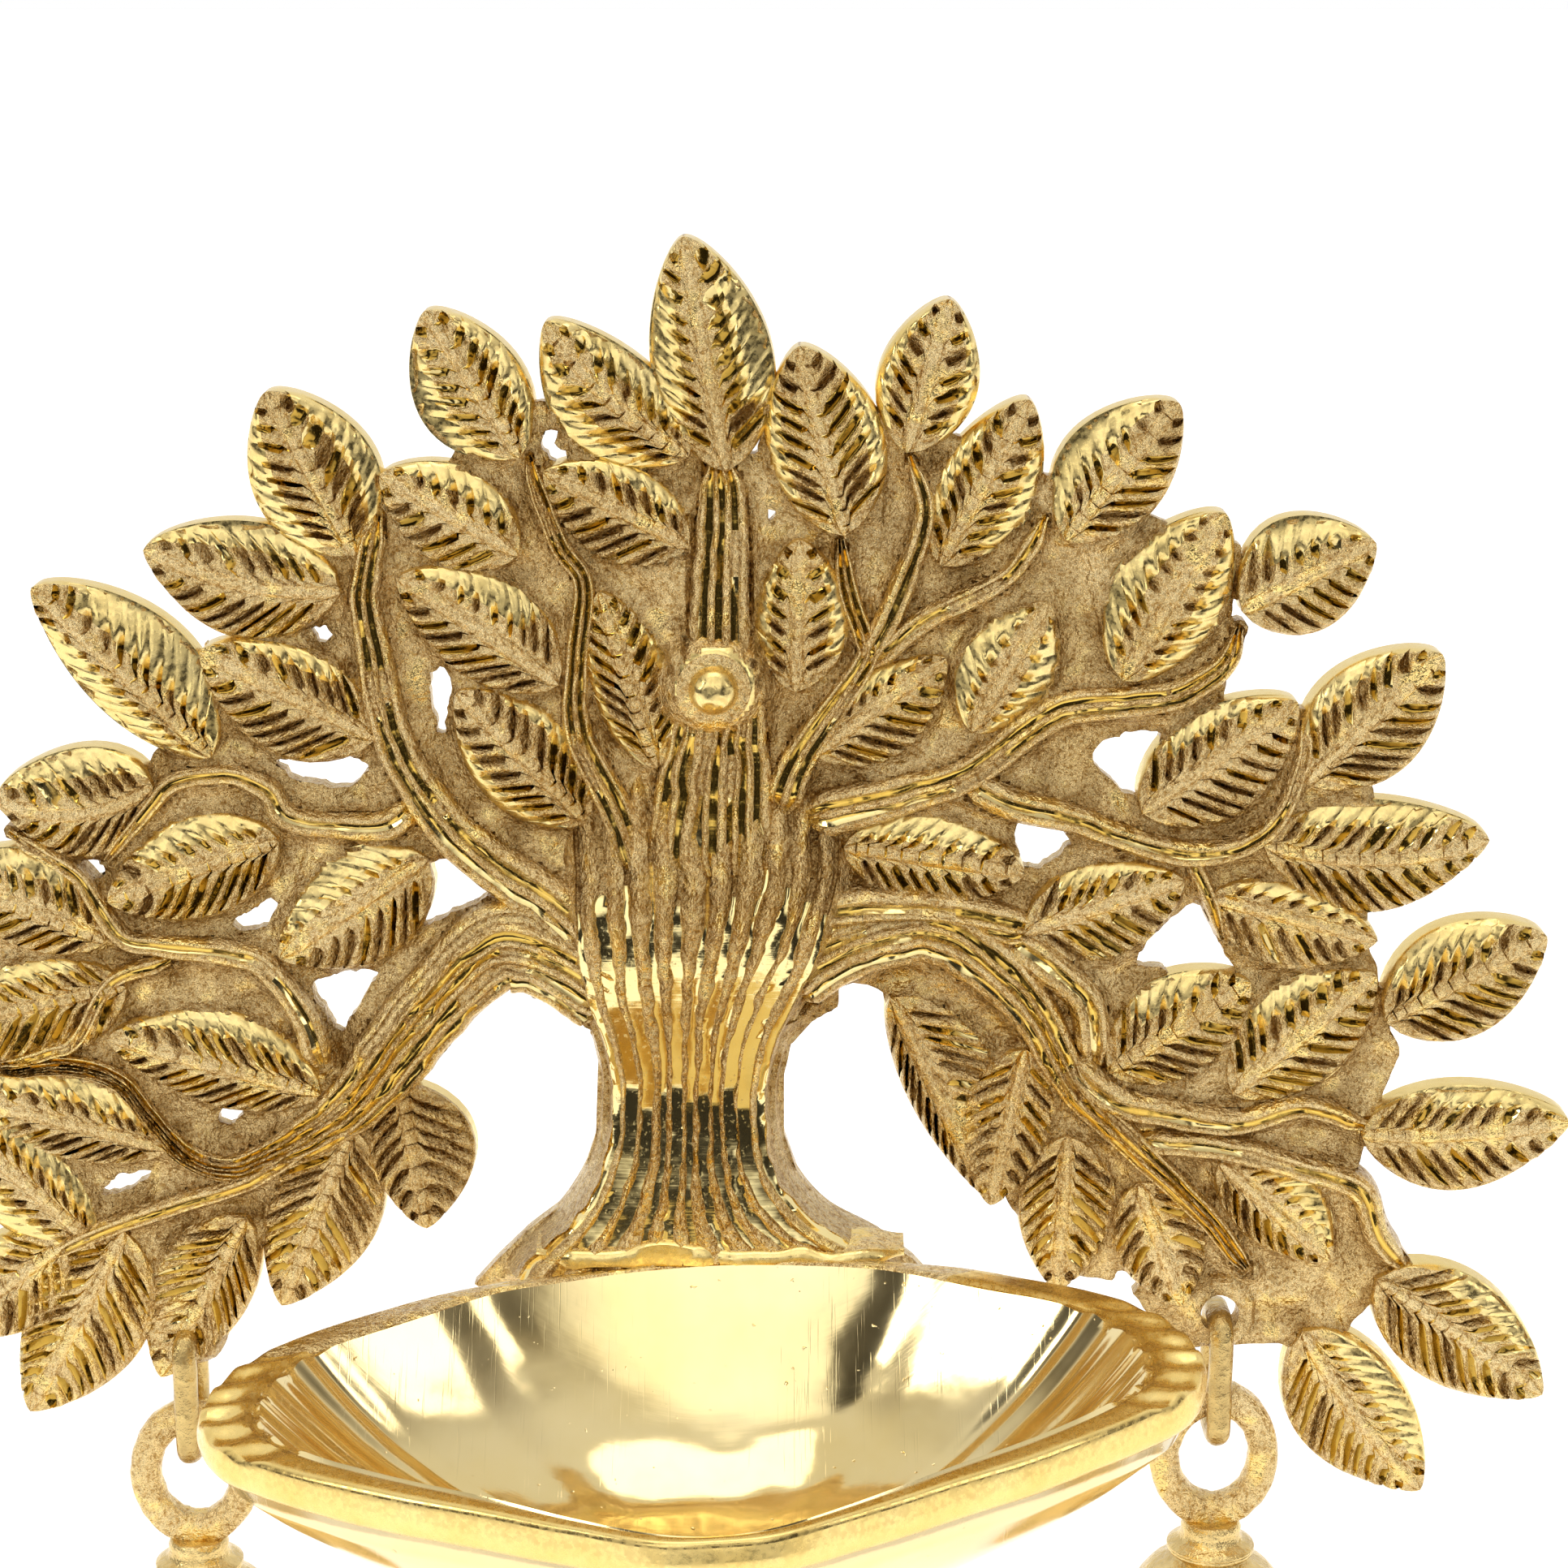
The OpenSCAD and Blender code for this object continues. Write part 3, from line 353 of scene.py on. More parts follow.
def leaf_distance(leaf, x, z):
    """Signed distance to a leaf's edge, positive inside."""
    t, w, span = leaf_local(leaf, x, z)
    widest = np.where(w > 0, leaf[5], leaf[6]) + LEAF_SWELL
    slope = widest * (leaf_swing(t + 0.01) - leaf_swing(t - 0.01)) / (0.02 * span)
    d = (widest * leaf_swing(t) - np.abs(w)) / np.sqrt(1 + np.clip(slope, -3, 3) ** 2)
    past = np.where(t < 0, -t, t - 1) * span
    return np.where((t < 0) | (t > 1), -np.hypot(past, w), d)


# ---------------------------------------------------------------- leaves

# Mesh lines of one vein: place across it, and how much of its cut each gives back
VEIN_LINES = {"start": (0.03, 0), "middle": (0.5, 0.5), "stop": (1, 1), "deep": (1, 0.7), "bed": (1, 0.25)}
STALK_LINES, TIP_LINES = (0, 0.008, 0.025), (0.955, 0.975, 0.99, 1.0)
# Rows beside the midrib: distance from it and height; then rows on the flank, as shares of the way out
RIB_ROWS = ((0.0, 0.5), (0.5, 0.42), (0.95, -0.1))
FLANK_ROWS = (0.1, 0.22, 0.36, 0.5, 0.64, 0.78, 0.9, 0.965, 1.0)
RIM_ROWS = 4
# What differs from leaf to leaf, lowest and highest
LEAF_HABITS = {"tilt": (-0.8, 0.6), "curl": (-1.6, 1.0), "roll": (-0.07, 0.07), "fold": (0.02, 0.14),
               "worn_from": (0.35, 0.75), "worn_low": (0.05, 0.45), "worn_high": (0.7, 0.95),
               "lean_mid": (1.3, 1.55), "lean_edge": (0.6, 0.72)}
CUT_DEPTH = 1.2
BRIGHT_SHARE = 0.6
LEAF_RANGE = (3.2, 5.9)


class LeafLines:
    """The mesh lines of one leaf, which follow its veins: granular bars between cut grooves."""

    def __init__(self, leaf, rng):
        name, bx, bz, tx, tz, _, _, _ = leaf
        self.leaf, self.rng = leaf, rng
        span = math.hypot(tx - bx, tz - bz)
        count = max(6, round(span / VEIN_PITCH))
        self.shares = CUT_SHARE.get(name, tuple(rng.uniform(0.44, 0.58, 2)))
        edges = np.linspace(0.05, 0.93, count + 1)
        edges[1:-1] += rng.uniform(-0.16, 0.16, count - 1) * (edges[1] - edges[0])
        for habit, (low, high) in LEAF_HABITS.items():
            setattr(self, habit, rng.uniform(low, high))
        lines = [(q, 0.0, -1, "end") for q in STALK_LINES]
        for n in range(count):
            lines += [(edges[n], edges[n + 1] - edges[n], n, kind) for kind in VEIN_LINES]
        lines += [(q, 0.0, -1, "end") for q in (edges[-1], *TIP_LINES)]
        self.start, self.wide, vein, kinds = (np.array(column) for column in zip(*lines))
        self.place, self.give = np.array([VEIN_LINES.get(k, (0, 0)) for k in kinds]).T
        self.dig = -1.0 * (kinds == "deep") - 0.45 * (kinds == "bed")
        self.swell = 0.4 * (kinds == "middle")
        # Painted shade with old patina: darkest in the groove bottoms, bright on the bar tops
        self.shade_patina = np.array([PATINA_SHADE_BY_PLACE[k] for k in kinds])
        self.strength = rng.uniform(0.7, 1.25, count + 1)[vein]
        bright = rng.uniform(0, 1, count + 1) < BRIGHT_SHARE
        self.cut = np.isin(kinds, ("stop", "deep", "bed")) & bright[vein]
        # The upper and right-hand rims of a leaf are filed smooth
        outward = np.array((tz - bz, bx - tx)) / span
        self.filed = {1: outward @ (-0.6, 0.8) < 0.2, -1: outward @ (0.6, 0.8) > 0.1}

    def place_row(self, widest, q, f, rib):
        """Part along the leaf, distance from the midrib and half width, for each point of a row."""
        t_mid, t_edge = q ** self.lean_mid, q ** self.lean_edge
        if rib:
            half = widest * leaf_swing(t_mid)
            return t_mid, rib[0] * np.minimum(1, half / 3), half
        t = t_mid + (t_edge - t_mid) * f ** 0.9
        for _ in range(2):
            half = widest * leaf_swing(t)
            inner = RIB_ROWS[-1][0] * np.minimum(1, half / 3)
            w = inner + (half - inner) * f
            t = t_mid + (t_edge - t_mid) * (w / np.maximum(half, 1e-6)) ** 0.9
        return t, w, half

    def row(self, side, widest, share, cut_from, cut_to, f=0.0, rib=None):
        """A row of points: f of the way out, or beside the midrib."""
        taper = float(ease(cut_from - 0.08, cut_from + 0.1, f) * (1 - 0.4 * ease(0.4, cut_to, f))
                      * (1 - ease(cut_to - 0.04, cut_to + 0.08, f)))
        gap = 1 + 0.22 * lattice_noise(self.start * 40, f * 5 + 7 * side, 2.3, SEED + 2)
        gap = (0.05 + (share - 0.05) * taper) * gap
        t, w, half = self.place_row(widest, self.start + (self.place - self.give * gap) * self.wide, f, rib)
        x, z = leaf_place(self.leaf, t, side * w)
        lift = self.tilt * (t - 0.5) + self.curl * ((t - 0.5) ** 2 - 0.08) \
            + self.roll * side * w - self.fold * w
        h = LEAF_TOP + 0.35 + lift
        worn = np.zeros(len(t))
        if rib:
            h += rib[1] * (1.1 - 0.6 * t)
        elif self.filed[side]:
            worn = float(ease(self.worn_from - 0.1, self.worn_from + 0.04, f)) \
                * ease(self.worn_low - 0.08, self.worn_low, t) \
                * ease(self.worn_high + 0.08, self.worn_high, t)
        h += 0.2 * lattice_noise(x, z, 3.7, SEED) + 0.13 * lattice_noise(x, z, 1.3, SEED + 1)
        h += 0.25 * worn - 1.4 * worn * (f - self.worn_from)
        h += CUT_DEPTH * math.sqrt(max(taper, 0)) * self.strength * (1 - 0.9 * worn) * self.dig
        h += self.swell * min(1, f * 4) * (1 - float(ease(0.85, 1, f))) * (1 - worn)
        h -= 0.9 * float(ease(0.84, 1.0, f)) ** 1.3 * np.minimum(1, half / 2)
        shade_patina = self.shade_patina * (1 - worn) * min(1, 3 * taper + 0.2)
        return x, -np.clip(h, *LEAF_RANGE), z, taper, worn, shade_patina, t, w

    def rows(self, side, widest, share):
        """All rows on one side of the midrib, then the edge and the wall down to the back."""
        cuts = (self.rng.uniform(0.02, 0.2), self.rng.uniform(0.82, 1.0))
        rows = [self.row(side, widest, share, *cuts, rib=rib) for rib in RIB_ROWS]
        rows += [self.row(side, widest, share, *cuts, f) for f in FLANK_ROWS]
        _, y, _, _, worn, _, t, w = rows[-1]
        # The edge and its wall down to the back get painted shade, darker lower down
        for out, level, shade_patina in ((0.12, np.minimum(y + 0.5, -1.2), 0.45), (0.2, np.full(len(y), -0.25), 0.9)):
            x, z = leaf_place(self.leaf, t, side * (w + out))
            rows.append((x, level, z, 0, worn, np.full(len(y), shade_patina)))
        return rows


def leaf_patch(mesh, leaf, rng):
    """One leaf as a closed shell."""
    lines = LeafLines(leaf, rng)
    left, right = (lines.rows(side, widest + LEAF_SWELL, share)
                   for side, widest, share in zip((1, -1), leaf[5:7], lines.shares))
    grid = right[:0:-1] + left
    points = np.stack([np.stack(row[:3], axis=1) for row in grid])
    rows, columns = points.shape[:2]
    kinds = []
    for r, (near, far) in enumerate(zip(grid[:-1], grid[1:])):
        rim = (lines.filed[-1] and r < RIM_ROWS) or (lines.filed[1] and r >= rows - 1 - RIM_ROWS)
        filed = (np.maximum(near[4][:-1], far[4][1:]) > 0.4) | rim | (r in (0, rows - 2))
        cut = lines.cut[:-1] & (max(near[3], far[3]) > 0.12)
        kinds += np.where(filed, FILED, np.where(cut, CUT, CAST)).tolist()
    faces = grid_faces(rows, columns, loop=True)
    faces += [[r * columns + c for r in range(rows)] for c in (0, columns - 1)]
    kinds += [CAST] * (len(faces) - len(kinds))
    mesh.add(points, faces, kinds, np.stack([row[5] for row in grid]))


# ---------------------------------------------------------------- web, trunk and boughs

def bough_distance(path, x, z):
    """Signed distance to the edge of a bough, positive inside."""
    fine = smooth_path(path, 4)
    best = np.full(x.shape, -50.0)
    near = (x > fine[:, 0].min() - 9) & (x < fine[:, 0].max() + 9) \
        & (z > fine[:, 1].min() - 9) & (z < fine[:, 1].max() + 9)
    px, pz, inner = x[near], z[near], best[near]
    for (ax, az, aw), (bx, bz, bw) in zip(fine[:-1], fine[1:]):
        ex, ez = bx - ax, bz - az
        t = np.clip(((px - ax) * ex + (pz - az) * ez) / max(ex * ex + ez * ez, 1e-9), 0, 1)
        inner = np.maximum(inner, (aw + (bw - aw) * t) / 2 - np.hypot(px - ax - t * ex, pz - az - t * ez))
    best[near] = inner
    return best


def web_edge(x, z, leafy, woody, trunk, pads, tongue):
    """Signed distance to the plate's outline and openings, positive in the metal."""
    canopy = outline_distance(x, z, CANOPY) + 0.5 * lattice_noise(x, z, 2.3, SEED + 3)
    solid = np.max([leafy, woody - 0.15, trunk, pads, tongue, canopy], axis=0)
    rough = 0.45 * lattice_noise(x, z, 1.5, SEED + 4) + 0.25 * lattice_noise(x, z, 0.9, SEED + 5)
    holes = np.max([outline_distance(x, z, v) for v in VOIDS], axis=0) + rough
    for hx, hz in LINK_HOLES:
        holes = np.maximum(holes, LINK_HOLE_R - np.hypot(x - hx, z - hz))
    for bx in BOWL_SCREW_X:
        holes = np.maximum(holes, BOWL_SCREW_R - np.hypot(x - bx, z - BOWL_SCREW_Z))
    return np.minimum(solid, -holes)


def web_top(x, z, edge, raised, trunk, pads, tongue):
    """Height of the web's front."""
    top = WEB_TOP + 0.3 * lattice_noise(x, z, 7, SEED + 6) + 0.2 * lattice_noise(x, z, 2.4, SEED + 7)
    top += 0.12 * lattice_noise(x, z, 1.1, SEED + 8)
    # fillet at the foot of what stands on it, and a falling rim
    top += 1.3 * np.exp(-np.maximum(-raised, 0) / 0.9) * (raised < 0.6)
    top -= 0.7 * ease(1.2, 0, edge) * (raised < 0.3)
    pad = soft_max(top, PAD_TOP + 0.15 * lattice_noise(x, z, 2, SEED) - 3 * ease(0.8, 0, pads), 0.3)
    top = np.where(pads > 0, pad, top)
    seat = np.hypot(x - RIVET[0], z - RIVET[1])
    top = np.maximum(top, WEB_TOP + 5.5 * ease(9.5, 4.4, seat) - 0.15 * ease(4.4, 3.8, seat))
    # swell under the broken trunk top, and the draft beside the trunk
    top += 1.6 * ease(8, 2, np.abs(x - 1) - 3) * ease(45, 55, z) * ease(112, 98, z) * (raised < 0)
    draft = 1.9 + 1.35 * np.clip(trunk, 0, 3.6) + 0.45 * lattice_noise(x, z, 2.6, SEED + 9)
    draft += 0.3 * lattice_noise(x, z, 1.4, SEED + 10)
    top = np.where((trunk > -0.7) & (z < 33) & (z > -8), np.maximum(draft, top), top)
    top += 0.5 * lattice_noise(x, z, 4.6, SEED + 10) * (raised < -0.5) * (trunk < 0)
    top += 0.45 * lattice_noise(x, z, 3.1, SEED + 11) * (raised < 0) * (trunk < 0)
    top = np.where((tongue > 0) & (z < TONGUE_TOP), TONGUE_T, top)
    return np.clip(top, *WEB_RANGE)


def web_slab(mesh):
    """The web of the casting: front worked as a height field, open voids, straight walls, flat back."""
    x, z = np.meshgrid(np.arange(*WEB_X, WEB_STEP), np.arange(*WEB_Z, WEB_STEP))
    leafy = np.max([leaf_distance(leaf, x, z) for leaf in LEAVES], axis=0) - 0.3
    woody = np.max([bough_distance(path, x, z) for path in BOUGHS], axis=0)
    trunk = outline_distance(x, z, TRUNK)
    pads = np.max([PAD_R - np.hypot(x - hx, z - hz) for hx, hz in LINK_HOLES], axis=0)
    left, right, low, high = TONGUE
    tongue = np.minimum(np.minimum(x - left, right - x), np.minimum(z - low, high - z))
    edge = web_edge(x, z, leafy, woody, trunk, pads, tongue)
    raised = np.maximum(leafy, woody)
    top = web_top(x, z, edge, raised, trunk, pads, tongue)

    # Cells mostly inside stay; their rim is moved onto the outline
    keep = (edge[:-1, :-1] + edge[1:, :-1] + edge[:-1, 1:] + edge[1:, 1:]) > 0
    gz, gx = np.gradient(edge, WEB_STEP)
    slope = np.maximum(gx ** 2 + gz ** 2, 0.25)
    used, missing = np.zeros(x.shape, bool), np.zeros(x.shape, bool)
    for dr in (0, 1):
        for dc in (0, 1):
            view = (slice(dr, dr + keep.shape[0]), slice(dc, dc + keep.shape[1]))
            used[view] |= keep
            missing[view] |= ~keep
    move = np.where(used & missing, np.clip(edge, -WEB_STEP, WEB_STEP) / slope, 0)
    x, z = x - move * gx, z - move * gz
    count = int(used.sum())
    index = np.full(x.shape, -1)
    index[used] = np.arange(count)
    front = np.stack([x[used], -top[used], z[used]], axis=1)
    back = np.stack([x[used], np.zeros(count), z[used]], axis=1)
    rows, cols = np.nonzero(keep)
    a, b, c, d = (index[rows + r, cols + k] for r, k in ((0, 0), (0, 1), (1, 1), (1, 0)))
    faces = np.stack([a, b, c, d], axis=1).tolist()
    rear = (np.stack([d, c, b, a], axis=1) + count).tolist()
    walls = []
    solid_cell = np.pad(keep, 1)
    for first, second, dr, dc in ((a, b, -1, 0), (b, c, 0, 1), (c, d, 1, 0), (d, a, 0, -1)):
        open_side = ~solid_cell[rows + 1 + dr, cols + 1 + dc]
        walls += [(j, i, i + count, j + count) for i, j in zip(first[open_side], second[open_side])]
    # Painted shade at the foot of leaves and boughs and along the outline, with random patches of old patina;
    # the back gets an even patina
    shade_patina = np.exp(-np.maximum(-raised, 0) / 1.1) * (raised < 0.5) + 0.5 * ease(1.0, 0, edge)
    shade_patina += 0.5 * ease(0.1, -0.7, lattice_noise(x, z, 3.1, SEED + 11)) * (raised < 0)
    shade_patina = np.concatenate([shade_patina[used], np.full(count, BACK_TARNISH)])
    buffed = (np.hypot(x - RIVET[0], z - RIVET[1]) < BUFFED_R)[:-1, :-1][keep]
    kinds = np.where(buffed, FILED, CAST).tolist() + [CAST] * (len(rear) + len(walls))
    mesh.add(np.vstack([front, back]), faces + rear + walls, kinds, shade_patina)


def strip_shell(mesh, grid, kinds, tarnish=0.0):
    """A closed shell from rows of points across a bough or trunk: top as given, flat underside."""
    rows, cols = grid.shape[:2]
    last = cols - 1
    under = [(r * cols, (r + 1) * cols, (r + 1) * cols + last, r * cols + last) for r in range(rows - 1)]
    ends = [tuple(range(last, -1, -1)), tuple((rows - 1) * cols + c for c in range(cols))]
    kinds = list(kinds.reshape(-1)) + [CAST] * (rows + 1)
    mesh.add(grid, grid_faces(rows, cols) + under + ends, kinds, tarnish)


def across(strands, rng, share):
    """Positions from -1 to 1 across a bundle of strands, with the role and strand of each, cuts between."""
    borders = np.linspace(-1, 1, strands + 1)
    borders[1:-1] += rng.uniform(-0.18, 0.18, strands - 1) * 2 / strands
    lines = [(-1.0, "edge", 0)]
    for n in range(strands):
        a, b = borders[n], borders[n + 1]
        half_cut = share * (b - a) / 2
        a2 = a + (half_cut if n else 0.0)
        b2 = b - (half_cut if n < strands - 1 else 0.0)
        for part, role in ((0.0, "side"), (0.22, "ridge"), (0.5, "crest"), (0.78, "ridge"), (1.0, "side")):
            lines.append((a2 + (b2 - a2) * part, role, n))
        if n < strands - 1:
            lines.append((b, "cut", n))
    lines.append((1.0, "edge", strands - 1))
    u, role, owner = (np.array(column) for column in zip(*lines))
    u[1] += 0.01
    u[-2] -= 0.01
    return u, role, owner


# Height of each line of a bough over its dome
BOUGH_LINES = {"crest": 0.42, "ridge": 0.24, "side": -0.22, "cut": -0.34, "edge": -0.3}
BOUGH_TOP = 9.8
# Wall beside a bough: how far out and how high
BOUGH_WALL = ((0.1, -2.2), (0.25, -0.6))


def bough_strip(mesh, path, rng):
    """One bough: granular strands side by side, with chisel-cut lines between them."""
    fine = smooth_path(path, 9)
    strands = max(2, round(max(p[2] for p in path) / 2.3))
    u, role, owner = across(strands, rng, 0.46)
    count = len(u)
    tangent = np.gradient(fine[:, :2], axis=0)
    tangent /= np.maximum(np.linalg.norm(tangent, axis=1), 1e-6)[:, None]
    length = np.concatenate([[0], np.cumsum(np.linalg.norm(np.diff(fine[:, :2], axis=0), axis=1))])
    phase = rng.uniform(0, 40)
    relief = np.array([BOUGH_LINES[k] for k in role])
    beside_cut = (role[:-1] == "cut") | (role[1:] == "cut")
    rows, kinds = [], []
    for (px, pz, width), (tx, tz), s in zip(fine, tangent, length):
        at = np.full(count, s)
        end = float(ease(0, 2.5, s) * ease(length[-1], length[-1] - 3.5, s))
        half = width / 2 * (0.55 + 0.45 * end)
        wobble = 0.1 * lattice_noise(at, owner * 3.0 + phase, 2.6, SEED + 12)
        w = u * half + np.where(np.abs(u) > 0.99, 0, wobble * half * 0.5)
        x, z = px + tz * w, pz - tx * w
        dome = (1.6 + 0.2 * min(width, 10)) * np.maximum(1 - u ** 2, 0) ** 0.45 * (0.35 + 0.65 * end)
        h = 3.1 + dome + fork_swell(x, z) * (0.6 + 0.4 * end)
        h += relief
        along = lattice_noise(at, owner * 5.0 + phase, 6, SEED + 13)
        h += 0.25 * along * (1 - np.abs(u)) + 0.2 * lattice_noise(x, z, 1.6, SEED + 14)
        shown = lattice_noise(at, owner * 7.0 + phase, 9, SEED + 15) > -0.62
        h += np.where(role == "cut", -0.35 * shown, 0)
        kinds.append(np.where(beside_cut & shown[:-1], CUT, CAST))
        left, right = ([[px + side * tz * (half + out), level, pz - side * tx * (half + out)]
                        for out, level in BOUGH_WALL] for side in (-1, 1))
        rows.append(np.vstack([left[::-1], np.stack([x, -np.minimum(h, BOUGH_TOP), z], axis=1), right]))
    kinds = np.pad(np.array(kinds[:-1]), ((0, 0), (2, 2)), constant_values=CAST)
    # Painted shade with old patina: dark on the strands' sides and the walls, bright on the crests and in the
    # cuts
    shade_patina = np.pad([PATINA_SHADE_BY_PLACE[k] for k in role], 2, constant_values=PATINA_SHADE_BY_PLACE["edge"])
    strip_shell(mesh, np.array(rows), kinds, np.tile(shade_patina, len(rows)))


# Height up the trunk, left edge, right edge, depth of the front
TRUNK_ROWS = [(-3, -27, 26, 11.8), (-1, -25.5, 24.5, 11.9), (1.5, -23, 21.5, 11.7), (5, -19.3, 15.3, 11.1),
              (9.5, -16.3, 11.3, 10.4), (14, -14.4, 9.3, 9.6), (18, -13.7, 8.7, 8.95), (22, -13.5, 8.5, 8.45),
              (25, -13.5, 8.8, 8.4), (31, -14.8, 10.4, 8.8), (36, -16.8, 13, 9.2), (41, -18, 15.6, 9.6),
              (45, -18.5, 17, 9.85), (48, -18.8, 18, 9.9), (52, -19.0, 18.9, 8.9), (57, -19.4, 19.4, 7.0),
              (62, -19.4, 19.6, 5.0), (68, -18.5, 19, 2.4)]
# Mirror-cut bands of the trunk: place across at the foot, the waist and the fan, width, where it ends,
# depth shift
TRUNK_CUTS = [(-0.94, -0.9, -0.9, 1.0, 48, 1), (-0.76, -0.71, -0.74, 1.9, 51, -1),
              (-0.56, -0.51, -0.58, 1.5, 52, 2), (-0.37, -0.31, -0.4, 0.8, 55, 0),
              (-0.2, -0.14, -0.2, 1.3, 50, -1), (-0.03, 0.02, 0.01, 0.8, 58, 1),
              (0.16, 0.18, 0.22, 1.3, 51, 0), (0.35, 0.34, 0.42, 0.9, 56, 1),
              (0.54, 0.5, 0.6, 1.5, 52, -1), (0.74, 0.68, 0.76, 1.8, 50, 2), (0.94, 0.89, 0.9, 1.0, 48, 0)]
# Height of each line of the trunk near the foot, and how much that grows toward the fork
TRUNK_LINES = {"crest": (0.5, 0.6), "brow": (0.36, 0.5), "rim": (0.1, -0.2), "cut": (-0.3, -0.4),
               "bed": (-0.33, -0.45), "edge": (-0.6, 0.0)}
TRUNK_STEPS = 132
CUT_REACH = (0.05, 0.075)


def fork_swell(x, z):
    """Extra height where the boughs leave the trunk, so that they rise out of it."""
    return 3.4 * np.exp(-((x + 1) / 15) ** 2 - ((z - 42) / 14) ** 2)


def trunk_lines(z, half, up, down, wander):
    """The lines across the trunk at one height: place, role, depth shift and band of each."""
    def band_at(band):
        foot, waist, fan = band[:3]
        return waist + (fan - waist) * up + (foot - waist) * down

    lines = [(-1.0, "edge", 0, 0)]
    for n, band in enumerate(TRUNK_CUTS):
        width, shift = band[3], band[5]
        at = band_at(band)
        at += 0.016 * float(lattice_noise(z, wander[n], 5, SEED + 20)) \
            + 0.010 * float(lattice_noise(z, wander[n], 1.7, SEED + 21))
        fade = float(ease(68, 60, z)) * (0.75 + 0.25 * float(ease(-2, 6, z)))
        fade *= 1 - 0.6 * float(ease(43 - 2 * shift, 51 - 2 * shift, z))
        rough = 1 + 0.3 * float(lattice_noise(z, wander[n] + 9, 2.2, SEED + 22)) \
            + 0.2 * float(lattice_noise(z, wander[n] + 9, 0.9, SEED + 25))
        reach = min(max(CUT_REACH[0], width / 2 * fade * rough) / half, CUT_REACH[1])
        lines += [(at - reach - 0.01, "rim", 0, n), (at - reach, "cut", shift, n), (at, "bed", shift, n),
                  (at + reach, "cut", shift, n), (at + reach + 0.01, "rim", 0, n)]
        if n + 1 < len(TRUNK_CUTS):
            gap = band_at(TRUNK_CUTS[n + 1]) - at
            lines += [(at + gap * 0.42, "brow", 0, n), (at + gap * 0.5, "crest", 0, n),
                      (at + gap * 0.58, "brow", 0, n)]
    lines.append((1.0, "edge", 0, len(TRUNK_CUTS) - 1))
    u, role, shift, owner = (np.array(column) for column in zip(*lines))
    return np.maximum.accumulate(u), role, shift, owner


def trunk_strip(mesh, rng):
    """The trunk: flat mirror-cut bands between thin granular ridges, fanning out into the boughs."""
    table = smooth_path(TRUNK_ROWS, 12)
    table = table[np.argsort(table[:, 0])]
    heights = np.linspace(TRUNK_ROWS[0][0], TRUNK_ROWS[-1][0], TRUNK_STEPS)
    rows, kinds, shade_patina = [], [], []
    wander = rng.uniform(0, 60, len(TRUNK_CUTS))
    stops = np.array([band[4] for band in TRUNK_CUTS])
    left, right = (np.interp(heights, table[:, 0], table[:, k]) for k in (1, 2))
    for z, xl, xr in zip(heights, left, right):
        middle, half = (xl + xr) / 2, (xr - xl) / 2
        up, down, cord = float(ease(30, 62, z)), float(ease(16, 0, z)), float(ease(40, 50, z))
        u, role, shift, owner = trunk_lines(z, half, up, down, wander)
        x, level = middle + u * half, np.full(len(u), z)
        h = np.interp(z + shift, table[:, 0], table[:, 3])
        h = h - (0.9 + 2.0 * up) * u ** 2 - (2.4 - 1.2 * up) * ease(0.92, 1.0, np.abs(u))
        h += [TRUNK_LINES[k][0] + TRUNK_LINES[k][1] * cord for k in role]
        in_cut = (role == "cut") | (role == "bed")
        h += np.where(in_cut, 0, 0.22 * lattice_noise(x, level, 1.2, SEED + 23)
                      + 0.3 * lattice_noise(owner * 9.0, level, 4, SEED + 24))
        h = np.maximum(h, 1.5)
        wall_top, wall_mid = -min(4.6, h[0] - 0.2), -min(2.4, h[0] - 0.5)
        wall_left = [[xl - 1.5, -0.6, z], [xl - 1.4, wall_mid, z], [xl - 0.8, wall_top, z]]
        wall_right = [[xr + 0.8, wall_top, z], [xr + 1.4, wall_mid, z], [xr + 1.5, -0.6, z]]
        rows.append(np.vstack([wall_left, np.stack([x, -h, level], axis=1), wall_right]))
        ended = z >= stops[owner]
        # Painted shade with old patina: bright in the cut beds, dark on the walls and in the grooves above
        # where their cut ends
        dull = [0.0 if k == "bed" else PATINA_SHADE_BY_PLACE[k] for k in role]
        shade_patina.append(np.pad(np.where(in_cut & ended, 1.0, dull), 3, constant_values=PATINA_SHADE_BY_PLACE["rim"]))
        kinds.append(np.where(in_cut[:-1] & in_cut[1:] & ~ended[:-1], CUT, CAST))
    kinds = np.pad(np.array(kinds[:-1]), ((0, 0), (3, 3)), constant_values=CAST)
    strip_shell(mesh, np.array(rows), kinds, np.array(shade_patina))


# Burnished bar across the foot of the trunk: left and right end, how far out at its ends and middle
LIP_LEFT, LIP_RIGHT, LIP_END_OUT, LIP_OUT, LIP_STEPS = -23.5, 27, 10.2, 12.3, 60


